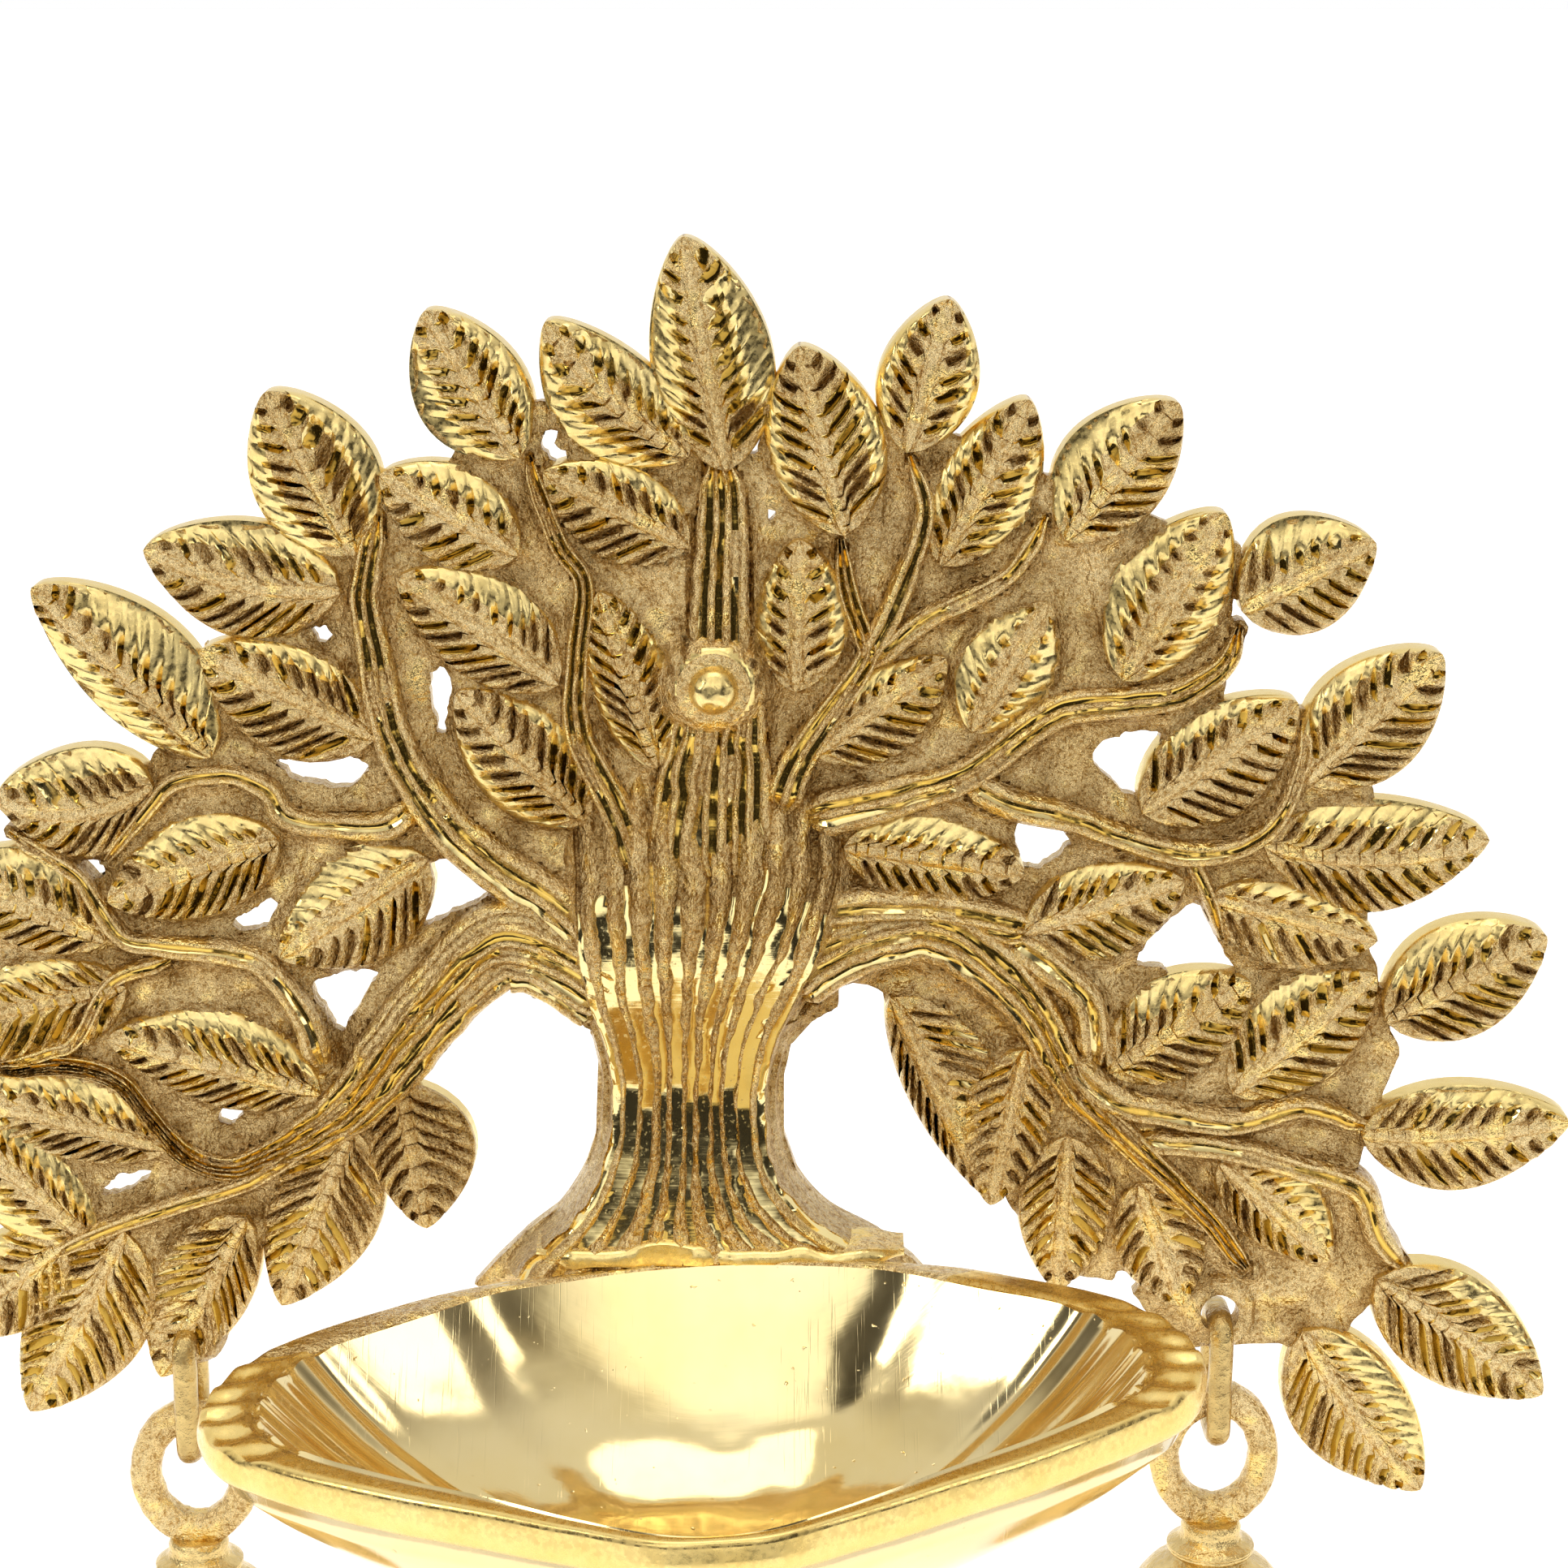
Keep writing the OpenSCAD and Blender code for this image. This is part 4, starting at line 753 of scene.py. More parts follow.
def foot_lip(mesh):
    """The uneven burnished bar across the foot of the trunk, over the bowl."""
    rows = []
    for px in np.linspace(LIP_LEFT, LIP_RIGHT, LIP_STEPS):
        end = float(ease(LIP_LEFT, -18, px) * ease(LIP_RIGHT, 21, px))
        middle = 0.9 + 0.25 * float(lattice_noise(px, 1.0, 9, SEED + 33))
        top = middle + 1.2 + 0.6 * float(lattice_noise(px, 3.0, 3.5, SEED + 30)) \
            + 1.0 * math.exp(-((px + 6) / 4) ** 2)
        low = middle - 1.7 + 0.4 * float(lattice_noise(px, 9.0, 3, SEED + 31))
        out = LIP_OUT + 0.35 * float(lattice_noise(px, 5.0, 2.5, SEED + 32))
        out = LIP_END_OUT + (out - LIP_END_OUT) * end
        taper = 0.3 + 0.7 * end
        top, low = middle + (top - middle) * taper, middle + (low - middle) * taper
        rows.append([[px, -5.0, low], [px, -(out - 0.7), low], [px, -out, low + 0.5],
                     [px, -out - 0.05, middle], [px, -out + 0.2, top - 0.5], [px, -(out - 0.8), top],
                     [px, -5.0, top + 0.8]])
    grid = np.array(rows)
    kinds = np.full((grid.shape[0] - 1, grid.shape[1] - 1), FILED)
    kinds[:, 0] = kinds[:, -1] = CAST
    strip_shell(mesh, grid, kinds)


def tree_casting(materials):
    """The whole tree plate as one mesh object."""
    rng = np.random.default_rng(SEED)
    mesh = Mesh()
    web_slab(mesh)
    for path in BOUGHS:
        bough_strip(mesh, path, rng)
    trunk_strip(mesh, rng)
    foot_lip(mesh)
    for leaf in LEAVES:
        leaf_patch(mesh, leaf, rng)
    tree = mesh.build("tree_casting", materials)
    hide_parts("tree_plate")
    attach(tree, "lamp")


# ---------------------------------------------------------------- bowl

BOWL_SCREW_X = (-9, 9)
BOWL_SCREW_Z = -12
BOWL_SCREW_R = 2.2
BOWL_CENTRE = (0.0, -46.0)
BOWL_X, BOWL_YAW, BOWL_ROLL = -2.5, math.radians(3.5), math.radians(-2)
BOWL_REACH = 60
WELL_DEPTH, FLOOR_T, BAND_H, UNDERCUT = 27.0, 3.2, 5.4, 1.5
WELL_RINGS, UNDER_RINGS = 44, 34
# Half of the rim, from the back middle round to the front point: outer x and y, inner x and y
RIM = [(0, -10, 0, -12.5), (28, -14, 24, -17), (44, -21.5, 36, -24.5), (56, -31, 47, -32),
       (61, -38, 52, -37), (63, -46, 55, -45), (63, -52, 55.5, -52), (60, -60, 53.5, -58),
       (54, -66, 48.5, -64), (45, -72.5, 41, -70), (32, -80, 29, -77.5), (18, -87.5, 16.5, -85.5),
       (8, -92.5, 7.5, -90.5), (0, -93.5, 0, -92)]
RIM_PARTS = 20
RIPPLE_FROM, RIPPLE_TO, RIPPLES, RIPPLE_H = 3, 8, 6, 0.9
# The rim in section, from the well outward: part of the way out, height, share of the ripple
RIM_SECTION = ((0.0, -0.05, 0.9), (0.05, -0.25, 0.6), (0.12, -0.5, 0.2), (0.18, -0.35, 0.1), (0.24, 0.0, 0.2),
               (0.34, 0.08, 0.7), (0.5, 0.0, 1.2), (0.68, -0.05, 1.4), (0.84, -0.15, 1.1), (0.94, -0.4, 0.8),
               (0.985, -0.9, 0.6), (1.0, -1.6, 0.3))
SATIN_FROM = 0.1
# The band below it: height, how far it stands out
BAND_SECTION = ((-2.6, 0.25), (-3.6, 0.3), (-4.4, 0.1), (-5.0, -0.35), (-5.3, -0.9))
BOSS = (-18.0, 18.0, -15.0, -5.0, -20.0, -7.5)
BOSS_CORNER = 1.5


def rim_loop():
    """The rim as a fine closed loop: outer x, y, inner x, y, depth of the shell ripple, station."""
    right = np.array(RIM, float)
    loop = np.vstack([right, right[-2:0:-1] * (-1, 1, -1, 1)])
    n = len(loop)
    out = []
    for i in range(n):
        a, b, c, d = loop[i - 1], loop[i], loop[(i + 1) % n], loop[(i + 2) % n]
        for j in range(RIM_PARTS):
            t = j / RIM_PARTS
            p = b + 0.5 * t * (c - a + t * (2 * a - 5 * b + 4 * c - d + t * (3 * (b - c) + d - a)))
            station = i + t if i < len(RIM) - 1 else n - i - t
            turn = (station - RIPPLE_FROM) / (RIPPLE_TO - RIPPLE_FROM)
            dip = 0.0
            if 0 < turn < 1:
                dip = (0.5 - 0.5 * math.cos(2 * math.pi * RIPPLES * turn)) \
                    * (0.55 + 0.45 * math.sin(math.pi * turn))
            out.append((*p, dip, station))
    return np.array(out)


def bowl_ring(loop, out, part, height, dip):
    """One ring: out is 0 on the inner rim and 1 on the outer; part of the way there; share of the ripple."""
    x = loop[:, 2] + (loop[:, 0] - loop[:, 2]) * out
    y = loop[:, 3] + (loop[:, 1] - loop[:, 3]) * out
    x = BOWL_CENTRE[0] + (x - BOWL_CENTRE[0]) * part
    y = BOWL_CENTRE[1] + (y - BOWL_CENTRE[1]) * part
    return np.stack([x, y, height - dip * RIPPLE_H * loop[:, 4]], axis=1)


def bowl_place(points):
    """Turns points of the level bowl to how it sits on the plate."""
    x, y, z = np.moveaxis(np.asarray(points, float), -1, 0)
    turn, roll = BOWL_YAW, BOWL_ROLL
    x, z = x * math.cos(roll) + z * math.sin(roll), -x * math.sin(roll) + z * math.cos(roll)
    x, y = x * math.cos(turn) - y * math.sin(turn), x * math.sin(turn) + y * math.cos(turn)
    return np.stack([x + BOWL_X, y, z], axis=-1)


def oil_bowl(materials):
    """The bowl: polished shell and underside with fluted corners, rolled edge, and its cast fixing boss."""
    loop = rim_loop()
    rings = []
    for s in np.linspace(0.04, 0.985, WELL_RINGS):
        rings.append((0, s, -WELL_DEPTH * (1 - s ** 2.6), 0.9 * float(ease(0.35, 1, s)), False))
    rings += [(out, 1.0, height, dip, out > SATIN_FROM) for out, height, dip in RIM_SECTION]
    rings += [(1.0, 1 + out / BOWL_REACH, height, 0, True) for height, out in BAND_SECTION]
    rings.append((1.0, 1 - UNDERCUT / BOWL_REACH, -BAND_H - 0.1, 0, False))
    for s in np.linspace(0.955, 0.05, UNDER_RINGS):
        rings.append((1.0, s, -BAND_H - (WELL_DEPTH + FLOOR_T - BAND_H) * (1 - s ** 2.4), 0, False))
    points = np.array([bowl_ring(loop, *ring[:4]) for ring in rings])

    # Hand-finished unevenness: broad waves, softer toward the rim
    x, y, z = points[..., 0], points[..., 1], points[..., 2]
    wave = 0.28 * lattice_noise(x, y, 13, SEED + 40) + 0.12 * lattice_noise(x, y + z, 5, SEED + 41)
    z += wave * ease(2, -9, z)
    z += 0.12 * lattice_noise(x, y, 8, SEED + 42) * ease(-3, 0, z)

    # Rough casting shows along the back of the rim
    station, side = loop[:, 5], loop[:, 0]
    rear = station < np.where(side < 0, 3.2, 1.6) + 0.4 * lattice_noise(side, station, 3, SEED + 43)
    kinds = []
    for ring in rings[:-1]:
        kinds += np.where(rear & ring[4], 1, 2 if ring[4] else 0).tolist()
    mesh = Mesh()
    ends = [(*BOWL_CENTRE, -WELL_DEPTH), (*BOWL_CENTRE, -WELL_DEPTH - FLOOR_T)]
    mesh.turned(bowl_place(points), bowl_place(ends), kinds)
    bowl_boss(mesh)
    bowl = mesh.build("polished_bowl", materials, sharp=50)
    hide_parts("oil_bowl")
    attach(bowl, "lamp")


def bowl_boss(mesh):
    """The rough cast block behind the bowl that its screws go into, with rounded edges."""
    x0, x1, y0, y1, z0, z1 = BOSS
    rows = []
    for y, inset in ((y1, 0.0), (y0 + 3, 0.0), (y0 + 1, 0.4), (y0, 1.6)):
        ring = []
        for cx, cz, start in ((x1, z1, 0), (x0, z1, 90), (x0, z0, 180), (x1, z0, 270)):
            sx, sz = (1 if cx > 0 else -1), (1 if cz == z1 else -1)
            for a in range(0, 91, 15):
                t = math.radians(start + a)
                ring.append((cx - sx * (BOSS_CORNER + inset) + BOSS_CORNER * math.cos(t), y,
                             cz - sz * (BOSS_CORNER + inset) + BOSS_CORNER * math.sin(t)))
        rows.append(ring)
    grid = np.array(rows)
    n = grid.shape[1]
    ends = [tuple(range(n - 1, -1, -1)), tuple(range((len(rows) - 1) * n, len(rows) * n))]
    mesh.add(grid, grid_faces(len(rows), n, around=True) + ends, 1)


# ---------------------------------------------------------------- bells and links

LINK_W, LINK_H, LINK_CORNER, WIRE_R = 9.1, 17.2, 2.6, 1.7
LINK_STEP, LINK_SIDES, LINK_FLAT = 0.6, 18, 0.08
BAR_DROP = 0.7
RING_HOLE, RING_HOLE_TALL = 4.75, 6.0
RING_OUT, RING_OUT_TALL = 9.25, 11.2
RING_T = 4.0
RING_COUNT, RING_SIDES = 120, 20
RING_Z = {"left": -35.3, "right": -32.6}
PAD_Y = -2.0
BELL_SIDES = 144
BELL_OUTSIDE = [(4.2, -10), (4.2, -12.5), (6.2, -13.6), (6.2, -14.6), (5, -15.4), (8.6, -17.4), (10.6, -20),
                (11.2, -22.6), (13.5, -24.4), (13.5, -26), (12, -27.2), (12.6, -32), (13.6, -37), (15, -41),
                (16.5, -44), (16.5, -46)]
BELL_INSIDE = [(14.7, -46), (12.6, -40.5), (11, -34), (10.2, -27), (9, -23), (6.6, -20), (0, -18.6)]


def finer(points, parts_of):
    """Straight steps between points; parts_of gives their number from the length of a gap."""
    fine = []
    for a, b in zip(points[:-1], points[1:]):
        parts = max(1, parts_of(np.linalg.norm(b - a)))
        fine += [a + (b - a) * i / parts for i in range(parts)]
    return fine


def tube_loop(mesh, centre, wobble_seed):
    """A closed bar bent along a loop of centre points, with hammer marks."""
    centre = np.asarray(centre, float)
    n = len(centre)
    ahead = np.roll(centre, -1, axis=0) - np.roll(centre, 1, axis=0)
    ahead /= np.linalg.norm(ahead, axis=1)[:, None]
    side = np.array((1.0, 0.0, 0.0))
    other = np.cross(ahead, side)
    other /= np.linalg.norm(other, axis=1)[:, None]
    grid = np.zeros((n, LINK_SIDES, 3))
    for k, a in enumerate(np.linspace(0, 2 * math.pi, LINK_SIDES, endpoint=False)):
        dent = 1 + 0.05 * lattice_noise(np.arange(n) * 0.35, np.full(n, k * 0.9), 2, wobble_seed)
        squash = 1 - LINK_FLAT * abs(math.sin(a)) ** 6
        grid[:, k] = centre + (side * math.cos(a) + other * math.sin(a)) * (WIRE_R * dent * squash)[:, None]
    mesh.add(grid, grid_faces(n, LINK_SIDES, around=True, loop=True, flip=True))


def link_centre(hole):
    """Centre line of a link: a tall rounded rectangle in the y-z plane, through the plate's hole."""
    top = hole[1] - BAR_DROP
    points = []
    for sy, sz, start in ((1, 1, 0), (-1, 1, 90), (-1, -1, 180), (1, -1, 270)):
        cy = PAD_Y + sy * LINK_W / 2 - sy * LINK_CORNER
        cz = (top if sz > 0 else top - LINK_H) - sz * LINK_CORNER
        for a in range(0, 91, 10):
            t = math.radians(start + a)
            points.append(np.array((hole[0], cy + LINK_CORNER * math.cos(t), cz + LINK_CORNER * math.sin(t))))
    return finer(points + points[:1], lambda gap: round(gap / LINK_STEP))


def side_link(side, hole, material, seed):
    """One hammered brass link."""
    mesh = Mesh()
    tube_loop(mesh, link_centre(hole), seed)
    link = mesh.build(side + "_link_bar", [material], sharp=80)
    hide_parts(side + "_link")
    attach(link, side + "_link_body")


def smooth_profile(points, step, round_r):
    """Fine profile through corner points, with small rounded corners."""
    p = [np.array(q, float) for q in points]
    out = [p[0]]
    for a, b, c in zip(p[:-2], p[1:-1], p[2:]):
        before, after = a - b, c - b
        r = min(round_r, np.linalg.norm(before) * 0.45, np.linalg.norm(after) * 0.45)
        s, e = b + before / np.linalg.norm(before) * r, b + after / np.linalg.norm(after) * r
        out += [s * (1 - t) ** 2 + b * 2 * t * (1 - t) + e * t ** 2 for t in (0, 0.25, 0.5, 0.75, 1)]
    out.append(p[-1])
    return finer(out, lambda gap: math.ceil(gap / step)) + [out[-1]]


def bell_body(mesh, cx, ring_z, seed):
    """Turned bell: collar, shoulder, raised band, waist and flared mouth, hollow inside."""
    outside = smooth_profile([(0, BELL_OUTSIDE[0][1])] + BELL_OUTSIDE, 0.7, 0.9)
    profile = outside + smooth_profile(BELL_INSIDE, 0.9, 1.5)[1:]
    turn = np.linspace(0, 2 * math.pi, BELL_SIDES, endpoint=False)
    rings = []
    for r, z in profile[1:-1]:
        groove = 0.05 * math.sin(z * 9) + 0.04 * math.sin(z * 23 + 1)
        wear = 0.06 * lattice_noise(turn * 4, np.full(BELL_SIDES, z), 2.2, seed)
        wear *= np.cos(turn / 2) ** 2
        radius = max(r, 0.05) + (groove + wear if r > 3 else 0)
        rings.append(np.stack([cx + radius * np.cos(turn), PAD_Y + radius * np.sin(turn),
                               np.full(BELL_SIDES, ring_z + z)], axis=1))
    mesh.turned(np.array(rings), [[cx, PAD_Y, ring_z + profile[end][1]] for end in (0, -1)], flip=True)


def bell_ring(mesh, cx, ring_z, seed):
    """The cast oval ring on top of a bell: rough, with softened edges."""
    grid = np.zeros((RING_COUNT, RING_SIDES, 3))
    for i, t in enumerate(np.linspace(0, 2 * math.pi, RING_COUNT, endpoint=False)):
        inner = np.array((RING_HOLE * math.cos(t), RING_HOLE_TALL * math.sin(t)))
        outer = np.array((RING_OUT * math.cos(t), RING_OUT_TALL * math.sin(t)))
        middle, arm = (inner + outer) / 2, (outer - inner) / 2
        for k in range(RING_SIDES):
            a = 2 * math.pi * k / RING_SIDES
            sx, sy = (math.copysign(abs(v) ** 0.62, v) for v in (math.cos(a), math.sin(a)))
            rough = 1 - 0.05 + 0.05 * float(lattice_noise(t * 9, a * 3, 1.3, seed))
            p = middle + arm * sx * rough
            grid[i, k] = (cx + p[0], PAD_Y + RING_T / 2 * sy * rough, ring_z + p[1])
    mesh.add(grid, grid_faces(RING_COUNT, RING_SIDES, around=True, loop=True, flip=True), 1)


def side_bell(side, hole, materials, seed):
    """One bell with its ring."""
    mesh = Mesh()
    bell_body(mesh, hole[0], RING_Z[side], seed)
    bell_ring(mesh, hole[0], RING_Z[side], seed)
    bell = mesh.build(side + "_turned_bell", materials, sharp=50)
    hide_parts(side + "_bell")
    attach(bell, side + "_bell_body")


# ---------------------------------------------------------------- rivet

RIVET_SIDES = 72
RIVET_FLANGE = range(3, 7)


def rivet_head(materials):
    """The hand-set round rivet: shank, dented dome and thin flange."""
    low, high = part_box("hanger_rivet")
    front, tail = to_layout(low)[1], to_layout(high)[1]
    cx, cz = RIVET
    profile = [(3.0, tail), (3.2, tail - 0.4), (2.1, tail - 1.0), (2.1, front + 3.2), (4.6, front + 3.2),
               (4.9, front + 3.0), (4.5, front + 2.75), (3.3, front + 2.6)]
    profile += [(3.15 * math.cos(t), front + 2.5 - 2.5 * math.sin(t)) for t in np.linspace(0.15, 1.5, 12)]
    turn = np.linspace(0, 2 * math.pi, RIVET_SIDES, endpoint=False)
    rings = []
    for r, y in profile:
        dome = float(ease(front + 2.6, front, y))
        x, z = r * np.cos(turn), r * np.sin(turn)
        dent = 0.22 * lattice_noise(x * 1.2 + 5, z * 1.2, 1.6, SEED + 70) * dome
        x = cx + x * (1 + 0.04 * dome * np.sin(turn * 2))
        rings.append(np.stack([x, y + np.abs(dent), cz + z], axis=1))
    kinds = [int(r in RIVET_FLANGE) for r in range(len(rings) - 1) for _ in turn]
    mesh = Mesh()
    mesh.turned(np.array(rings), [[cx, tail, cz], [cx, front + 0.1, cz]], kinds)
    rivet = mesh.build("dome_rivet", materials, sharp=60)
    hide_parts("hanger_rivet")
    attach(rivet, "lamp")


# ---------------------------------------------------------------- materials

class Nodes:
    """Builds the node tree of a material or of the world."""

    def __init__(self, tree):
        self.nodes, self.links = tree.nodes, tree.links

    def put(self, value, socket):
        """Links a socket, or sets a plain number or colour."""
        if isinstance(value, bpy.types.NodeSocket):
            self.links.new(value, socket)
        else:
            socket.default_value = value

    def make(self, kind, output, inputs, **settings):
        """A new shader node; returns its named output."""
        node = self.nodes.new("ShaderNode" + kind)
        for name, value in settings.items():
            setattr(node, name, value)
        for name, value in inputs.items():
            self.put(value, node.inputs[name])
        return node.outputs[output]

    def ramp(self, source, *stops):
        """Turns a value into a shade or colour, by the place and value of each stop."""
        node = self.nodes.new("ShaderNodeValToRGB")
        elements = node.color_ramp.elements
        while len(elements) < len(stops):
            elements.new(0.5)
        for element, (at, value) in zip(elements, stops):
            element.position = at
            element.color = (*value, 1) if hasattr(value, "__len__") else (value, value, value, 1)
        self.put(source, node.inputs["Fac"])
        return node.outputs["Color"]

    def mix(self, factor, a, b, mode="MIX"):
        """Mixes two colours by a factor that is a number or a socket."""
        return self.make("Mix", "Result", {"Factor": factor, "A": a, "B": b},
                         data_type="RGBA", blend_type=mode)

    def math(self, operation, a, b):
        return self.make("Math", "Value", {0: a, 1: b}, operation=operation)

    def fade(self, source, low, high, to_low=0.0, to_high=1.0):
        """Smooth step of a value between two others."""
        return self.make("MapRange", "Result", {"From Min": low, "From Max": high, "To Min": to_low,
                                                "To Max": to_high, "Value": source},
                         interpolation_type="SMOOTHSTEP")


class Skin(Nodes):
    """The node tree of one material with a Principled shader."""

    def __init__(self, name):
        self.material = bpy.data.materials.new(name)
        self.material.use_nodes = True
        super().__init__(self.material.node_tree)
        self.shader = self.nodes["Principled BSDF"].inputs
        self.coord = self.mapped()

    def mapped(self, scale=(1, 1, 1)):
        """Object coordinates, stretched by scale."""
        coord = self.make("TexCoord", "Object", {})
        return self.make("Mapping", "Vector", {"Scale": scale, "Vector": coord})

    def noise(self, scale, detail, rough=0.6, distort=0.0, coord=None):
        return self.make("TexNoise", "Fac", {"Scale": scale, "Detail": detail, "Roughness": rough,
                                             "Distortion": distort,
                                             "Vector": self.coord if coord is None else coord})

    def streaks(self, stretch):
        """Noise drawn out into lines."""
        return self.noise(1.0, 2, 0.5, coord=self.mapped(stretch))

    def relief(self, *layers):
        """Bumps laid over each other: height, strength and distance of each."""
        normal = None
        for height, strength, distance in layers:
            inputs = {"Strength": strength, "Distance": distance, "Height": height}
            if normal is not None:
                inputs["Normal"] = normal
            normal = self.make("Bump", "Normal", inputs)
        return normal

    def recess(self):
        """The mesh's painted shade with old patina: 1 in the recesses, 0 on what hands and rags reach."""
        return self.make("Attribute", "Fac", {}, attribute_name="tarnish")

    def tarnished(self, tone, mottle, dark):
        """A colour darkened by painted shade with old patina in the recesses, with a mottled edge."""
        amount = self.math("MULTIPLY", self.recess(), self.ramp(mottle, (0.3, 0.45), (0.7, 1.0)))
        return self.mix(amount, tone, self.mix(1.0, tone, dark, "MULTIPLY"))

    def metal(self, tone, roughness, *layers):
        """Finishes a metal from its colour, roughness and relief."""
        self.shader["Metallic"].default_value = 1.0
        for name, value in (("Base Color", tone), ("Roughness", roughness), ("Normal", self.relief(*layers))):
            self.put(value, self.shader[name])
        return self.material


def cast_brass():
    """Sand-cast skin: glittering grain a third of a millimetre across with painted shade in its pits, rubbed
    smooth and yellow in places.
    """
    skin = Skin("cast_brass_skin")
    grain, lumps = skin.noise(1500, 3, 0.7), skin.noise(620, 3, 0.55)
    rubbed = skin.ramp(skin.noise(190, 3, 0.6, 0.4), (0.5, 0.0), (0.64, 1.0))
    rubbed = skin.math("MAXIMUM", skin.math("SUBTRACT", rubbed, skin.recess()), 0.0)
    tone = skin.ramp(skin.noise(60, 4), (0.3, (0.76, 0.55, 0.24)), (0.7, (0.94, 0.74, 0.39)))
    # Painted shade in the grain's pits: darker where the grain bump is low
    pit_shade = skin.ramp(grain, (0.34, (0.6, 0.46, 0.28)), (0.5, (1.0, 1.0, 1.0)))
    tone = skin.mix(rubbed, skin.mix(1.0, tone, pit_shade, "MULTIPLY"), (0.86, 0.63, 0.23, 1.0))
    roughness = skin.mix(rubbed, skin.ramp(grain, (0.35, 0.36), (0.6, 0.17)), (0.2, 0.2, 0.2, 1.0))
    height = skin.mix(rubbed, grain, (0.5, 0.5, 0.5, 1.0))
    # The recesses are darkened by the mesh's painted shade with old patina
    return skin.metal(skin.tarnished(tone, lumps, (0.4, 0.31, 0.19, 1.0)), roughness,
                      (lumps, 0.9, 0.001), (height, 1.0, 0.0005))


def cut_brass():
    """Bright-cut facet: near mirror with tool chatter and a few pits."""
    skin = Skin("bright_cut_brass")
    soft = skin.noise(220, 2, 0.5)
    tone = skin.ramp(soft, (0.3, (0.88, 0.69, 0.29)), (0.7, (0.95, 0.78, 0.37)))
    roughness = skin.ramp(skin.noise(1500, 2), (0.3, 0.3), (0.42, 0.09), (0.8, 0.12))
    # The recesses are darkened by the mesh's painted shade with old patina
    return skin.metal(skin.tarnished(tone, soft, (0.5, 0.46, 0.36, 1.0)), roughness,
                      (soft, 0.3, 0.0004), (skin.streaks((60, 60, 2600)), 0.12, 0.00006))


def filed_brass(name, low, high, relief):
    """Filed and buffed brass: warm yellow, soft scratches, and how strongly its unevenness shows."""
    skin = Skin(name)
    grain, broad = skin.noise(1300, 3), skin.noise(160, 3)
    return skin.metal(skin.ramp(broad, (0.3, low), (0.7, high)), skin.ramp(grain, (0.3, 0.42), (0.6, 0.2)),
                      (broad, relief, 0.0006), (grain, relief / 2, 0.0001))


def polished_brass():
    """Hand-polished: mirror with haze, hairline scratches and pinholes."""
    skin = Skin("polished_brass_skin")
    haze = skin.noise(45, 4)
    tone = skin.ramp(haze, (0.3, (0.92, 0.71, 0.31)), (0.7, (0.97, 0.79, 0.42)))
    scratch = skin.ramp(skin.streaks((3500, 90, 90)), (0.62, 0.0), (0.72, 1.0))
    pinhole = skin.ramp(skin.noise(900, 1, 0.5), (0.17, 0.0), (0.24, 1.0))
    return skin.metal(tone, skin.ramp(haze, (0.3, 0.07), (0.7, 0.17)),
                      (haze, 0.12, 0.0008), (scratch, 0.12, 0.00004),
                      (skin.streaks((120, 3000, 400)), 0.08, 0.00004), (pinhole, 0.6, 0.00015))


def dull_brass(name, low, high, rough):
    """Tarnished working brass: mottled, softly worn, with dents from the hammer and the sand."""
    skin = Skin(name)
    mottle = skin.noise(260, 5, 0.65)
    roughness = skin.ramp(mottle, (0.3, rough + 0.14), (0.7, rough))
    return skin.metal(skin.ramp(mottle, (0.32, low), (0.68, high)), roughness,
                      (mottle, 0.6, 0.0009), (skin.noise(1100, 3), 0.6, 0.0003))


def plated_steel():
    """Zinc-plated steel: grey, faintly spangled."""
    skin = Skin("zinc_plated_steel")
    spangle = skin.noise(700, 3)
    tone = skin.ramp(spangle, (0.3, (0.42, 0.42, 0.41)), (0.7, (0.66, 0.65, 0.63)))
    return skin.metal(tone, skin.ramp(spangle, (0.3, 0.42), (0.7, 0.26)), (spangle, 0.3, 0.0001))


def pale_paper():
    """The pale sheet under the lamp, faintly mottled."""
    skin = Skin("pale_paper")
    tone = skin.ramp(skin.noise(3, 3, 0.5), (0.3, (0.93, 0.935, 0.95)), (0.7, (0.96, 0.963, 0.97)))
    skin.put(tone, skin.shader["Base Color"])
    skin.shader["Roughness"].default_value = 0.7
    skin.shader["Emission Color"].default_value = (1, 1, 1, 1)
    skin.shader["Emission Strength"].default_value = 0.5
    return skin.material


def dress(material, *nodes):
    """Puts a material on CAD nodes that are shown as they are."""
    for node in nodes:
        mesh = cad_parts[node].data
        mesh.materials.clear()
        mesh.materials.append(material)


# ---------------------------------------------------------------- floor, light, camera

FLOOR_Z = -82.5
FLOOR_X, FLOOR_FRONT, FLOOR_BACK = 5, -0.4, 16
# Studio seen in the brass, as shares of full white: big reflector above in front, ceiling, sides
REFLECTOR, CEILING, SIDES, BEHIND = 1.45, 0.75, 0.1, 0.96
REFLECTOR_AT = (-0.12, -0.87, 0.48)
# What stands dark in front of the reflector: direction, cosine where it starts and where it is full
DARK_SPOTS = [((0.08, -0.955, 0.285), 0.985, 0.993), ((-0.585, -0.56, 0.586), 0.966, 0.976)]
SPOT_SHADE = 0.05
# Softboxes: name, place, width, height and watts; all point at AIM
SOFTBOXES = [("left_softbox", (-0.9, -0.47, 0.45), 0.22, 0.4, 1.7),
             ("top_softbox", (0.0, -0.15, 0.95), 0.8, 0.5, 2.0),
             ("right_softbox", (0.8, -0.4, 0.3), 0.2, 0.5, 0.8)]
AIM = Vector((0, -0.03, -0.08))
EYE, EYE_TILT, LENS, SENSOR = (10.5, -436.6, 173.6), math.radians(76), 76.3, 36


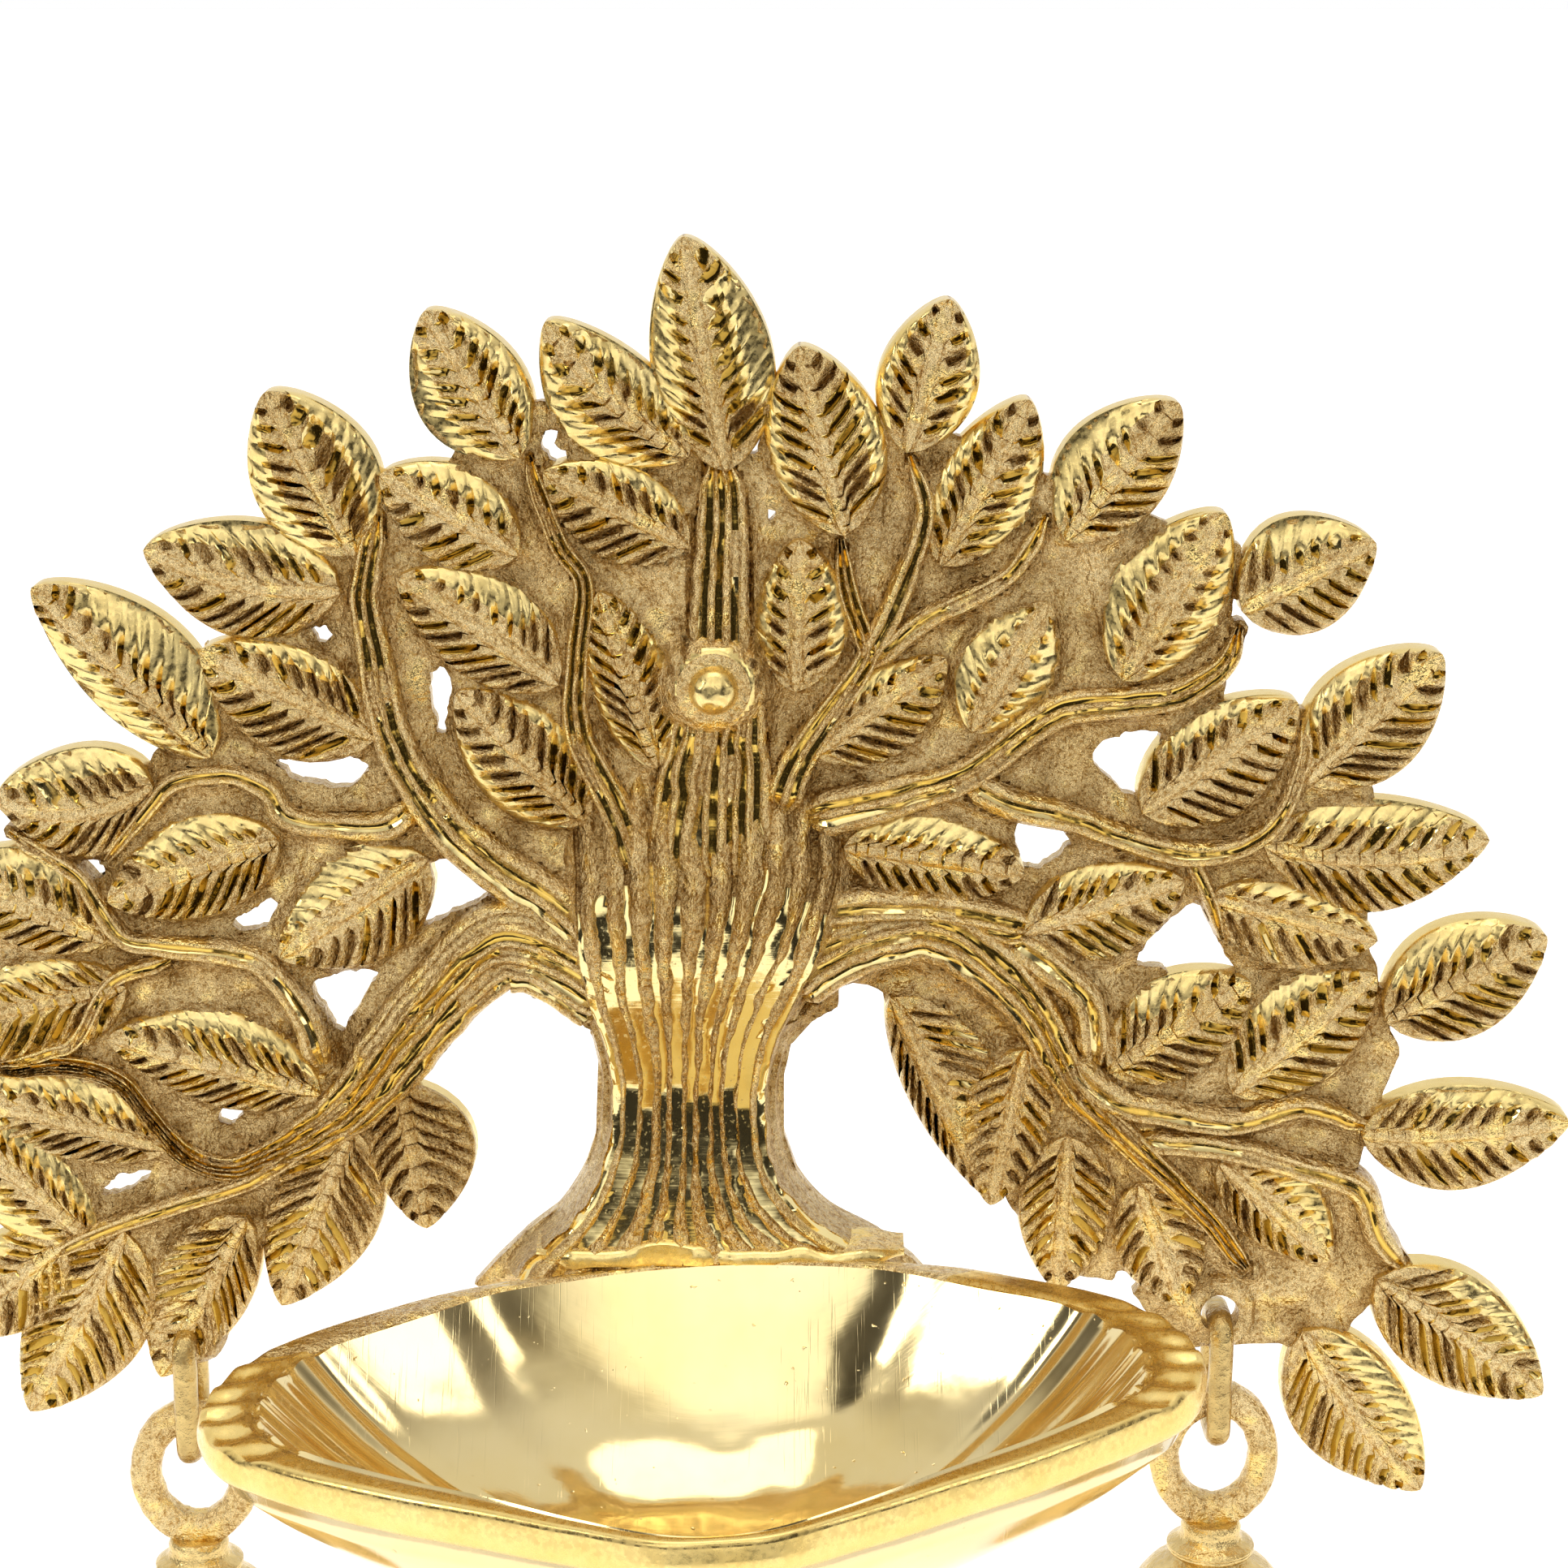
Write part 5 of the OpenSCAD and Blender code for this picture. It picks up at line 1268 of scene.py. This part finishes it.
def paper_floor():
    """The pale sheet below and behind the lamp."""
    z = (FLOOR_Z - HANG[2]) * MM
    mesh = bpy.data.meshes.new("paper_floor")
    mesh.from_pydata([(-FLOOR_X, FLOOR_FRONT, z), (FLOOR_X, FLOOR_FRONT, z), (FLOOR_X, FLOOR_BACK, z),
                      (-FLOOR_X, FLOOR_BACK, z)], [], [(0, 1, 2, 3)])
    mesh.materials.append(pale_paper())
    floor = show("paper_floor", mesh)


def softbox(name, at, width, height, power):
    light = bpy.data.lights.new(name, "AREA")
    light.shape, light.size, light.size_y, light.energy = "RECTANGLE", width, height, power
    lamp = show(name, light)
    lamp.location = at
    lamp.rotation_euler = (AIM - Vector(at)).to_track_quat("-Z", "Y").to_euler()


def room_light():
    """White behind, a reflector above in front, dim sides, and a dark band where the room shows in front."""
    world = bpy.data.worlds.new("studio_room")
    bpy.context.scene.world = world
    world.use_nodes = True
    room = Nodes(world.node_tree)
    ray = room.make("TexCoord", "Generated", {})
    split = room.nodes.new("ShaderNodeSeparateXYZ")
    room.put(ray, split.inputs["Vector"])
    y, z = split.outputs["Y"], split.outputs["Z"]

    def towards(direction):
        """Cosine of the angle between where the ray goes and a direction."""
        return room.make("VectorMath", "Value", {0: ray, 1: direction}, operation="DOT_PRODUCT")

    above = room.fade(towards(REFLECTOR_AT), 0.72, 0.9, 0.0, REFLECTOR)
    above = room.math("MULTIPLY", above, room.fade(z, -0.02, 0.16))
    total = room.math("MAXIMUM", room.fade(y, -0.05, 0.3, 0.0, BEHIND), above)
    rest = room.math("MAXIMUM", room.fade(y, -0.3, -0.75, SIDES, 0.03), room.fade(z, -0.1, 0.5, 0.0, SIDES))
    for part in (rest, room.fade(z, 0.42, 0.8, 0.0, CEILING)):
        total = room.math("MAXIMUM", total, part)
    for spot, wide, tight in DARK_SPOTS:
        total = room.math("MULTIPLY", total, room.fade(towards(spot), wide, tight, 1.0, SPOT_SHADE))
    tint = room.ramp(total, (0.0, (0.0, 0.0, 0.0)), (0.3, (0.32, 0.3, 0.27)), (1.0, (0.98, 0.99, 1.0)))
    strength = room.math("MAXIMUM", total, 1.0)
    # Seen straight on, the room is plain pale paper all round
    seen = room.make("LightPath", "Is Camera Ray", {})
    for name, value in (("Color", tint), ("Strength", strength)):
        room.put(room.mix(seen, value, (1.0, 1.0, 1.0, 1.0)), room.nodes["Background"].inputs[name])


def studio():
    """Floor, world, softboxes and camera."""
    scene = bpy.context.scene
    scene.view_settings.view_transform = "Standard"
    paper_floor()
    room_light()
    for box in SOFTBOXES:
        softbox(*box)
    camera = bpy.data.cameras.new("camera")
    camera.lens, camera.sensor_width = LENS, SENSOR
    camera.clip_start, camera.clip_end = 0.01, 30
    scene.camera = show("camera", camera)
    scene.camera.location = to_frame(EYE).tolist()
    scene.camera.rotation_euler = (EYE_TILT, 0, 0)


def main():
    cast, cut = cast_brass(), cut_brass()
    filed = filed_brass("filed_brass_edge", (0.82, 0.61, 0.22), (0.9, 0.7, 0.3), 0.4)
    satin = filed_brass("satin_brass_lip", (0.84, 0.59, 0.18), (0.92, 0.69, 0.26), 0.15)
    polished = polished_brass()
    bell_skin = dull_brass("bell_brass", (0.6, 0.42, 0.16), (0.87, 0.65, 0.28), 0.15)
    link_skin = dull_brass("link_brass", (0.4, 0.27, 0.1), (0.7, 0.51, 0.2), 0.17)
    strap_skin = dull_brass("strap_brass", (0.6, 0.44, 0.2), (0.78, 0.6, 0.32), 0.3)
    steel = plated_steel()
    tree_casting([cast, cut, filed])
    oil_bowl([polished, cast, satin])
    rivet_head([filed, cast])
    for number, (side, hole) in enumerate(zip(("left", "right"), LINK_HOLES)):
        side_link(side, hole, link_skin, SEED + 50 + number)
        side_bell(side, hole, [bell_skin, cast], SEED + 60 + number)
        dress(steel, side + "_clapper_pin", side + "_clapper_rod")
        dress(bell_skin, side + "_clapper_ball")
    dress(steel, "bowl_screws", "bowl_washers")
    dress(strap_skin, "hanger_strap", "rivet_washer")
    studio()


main()
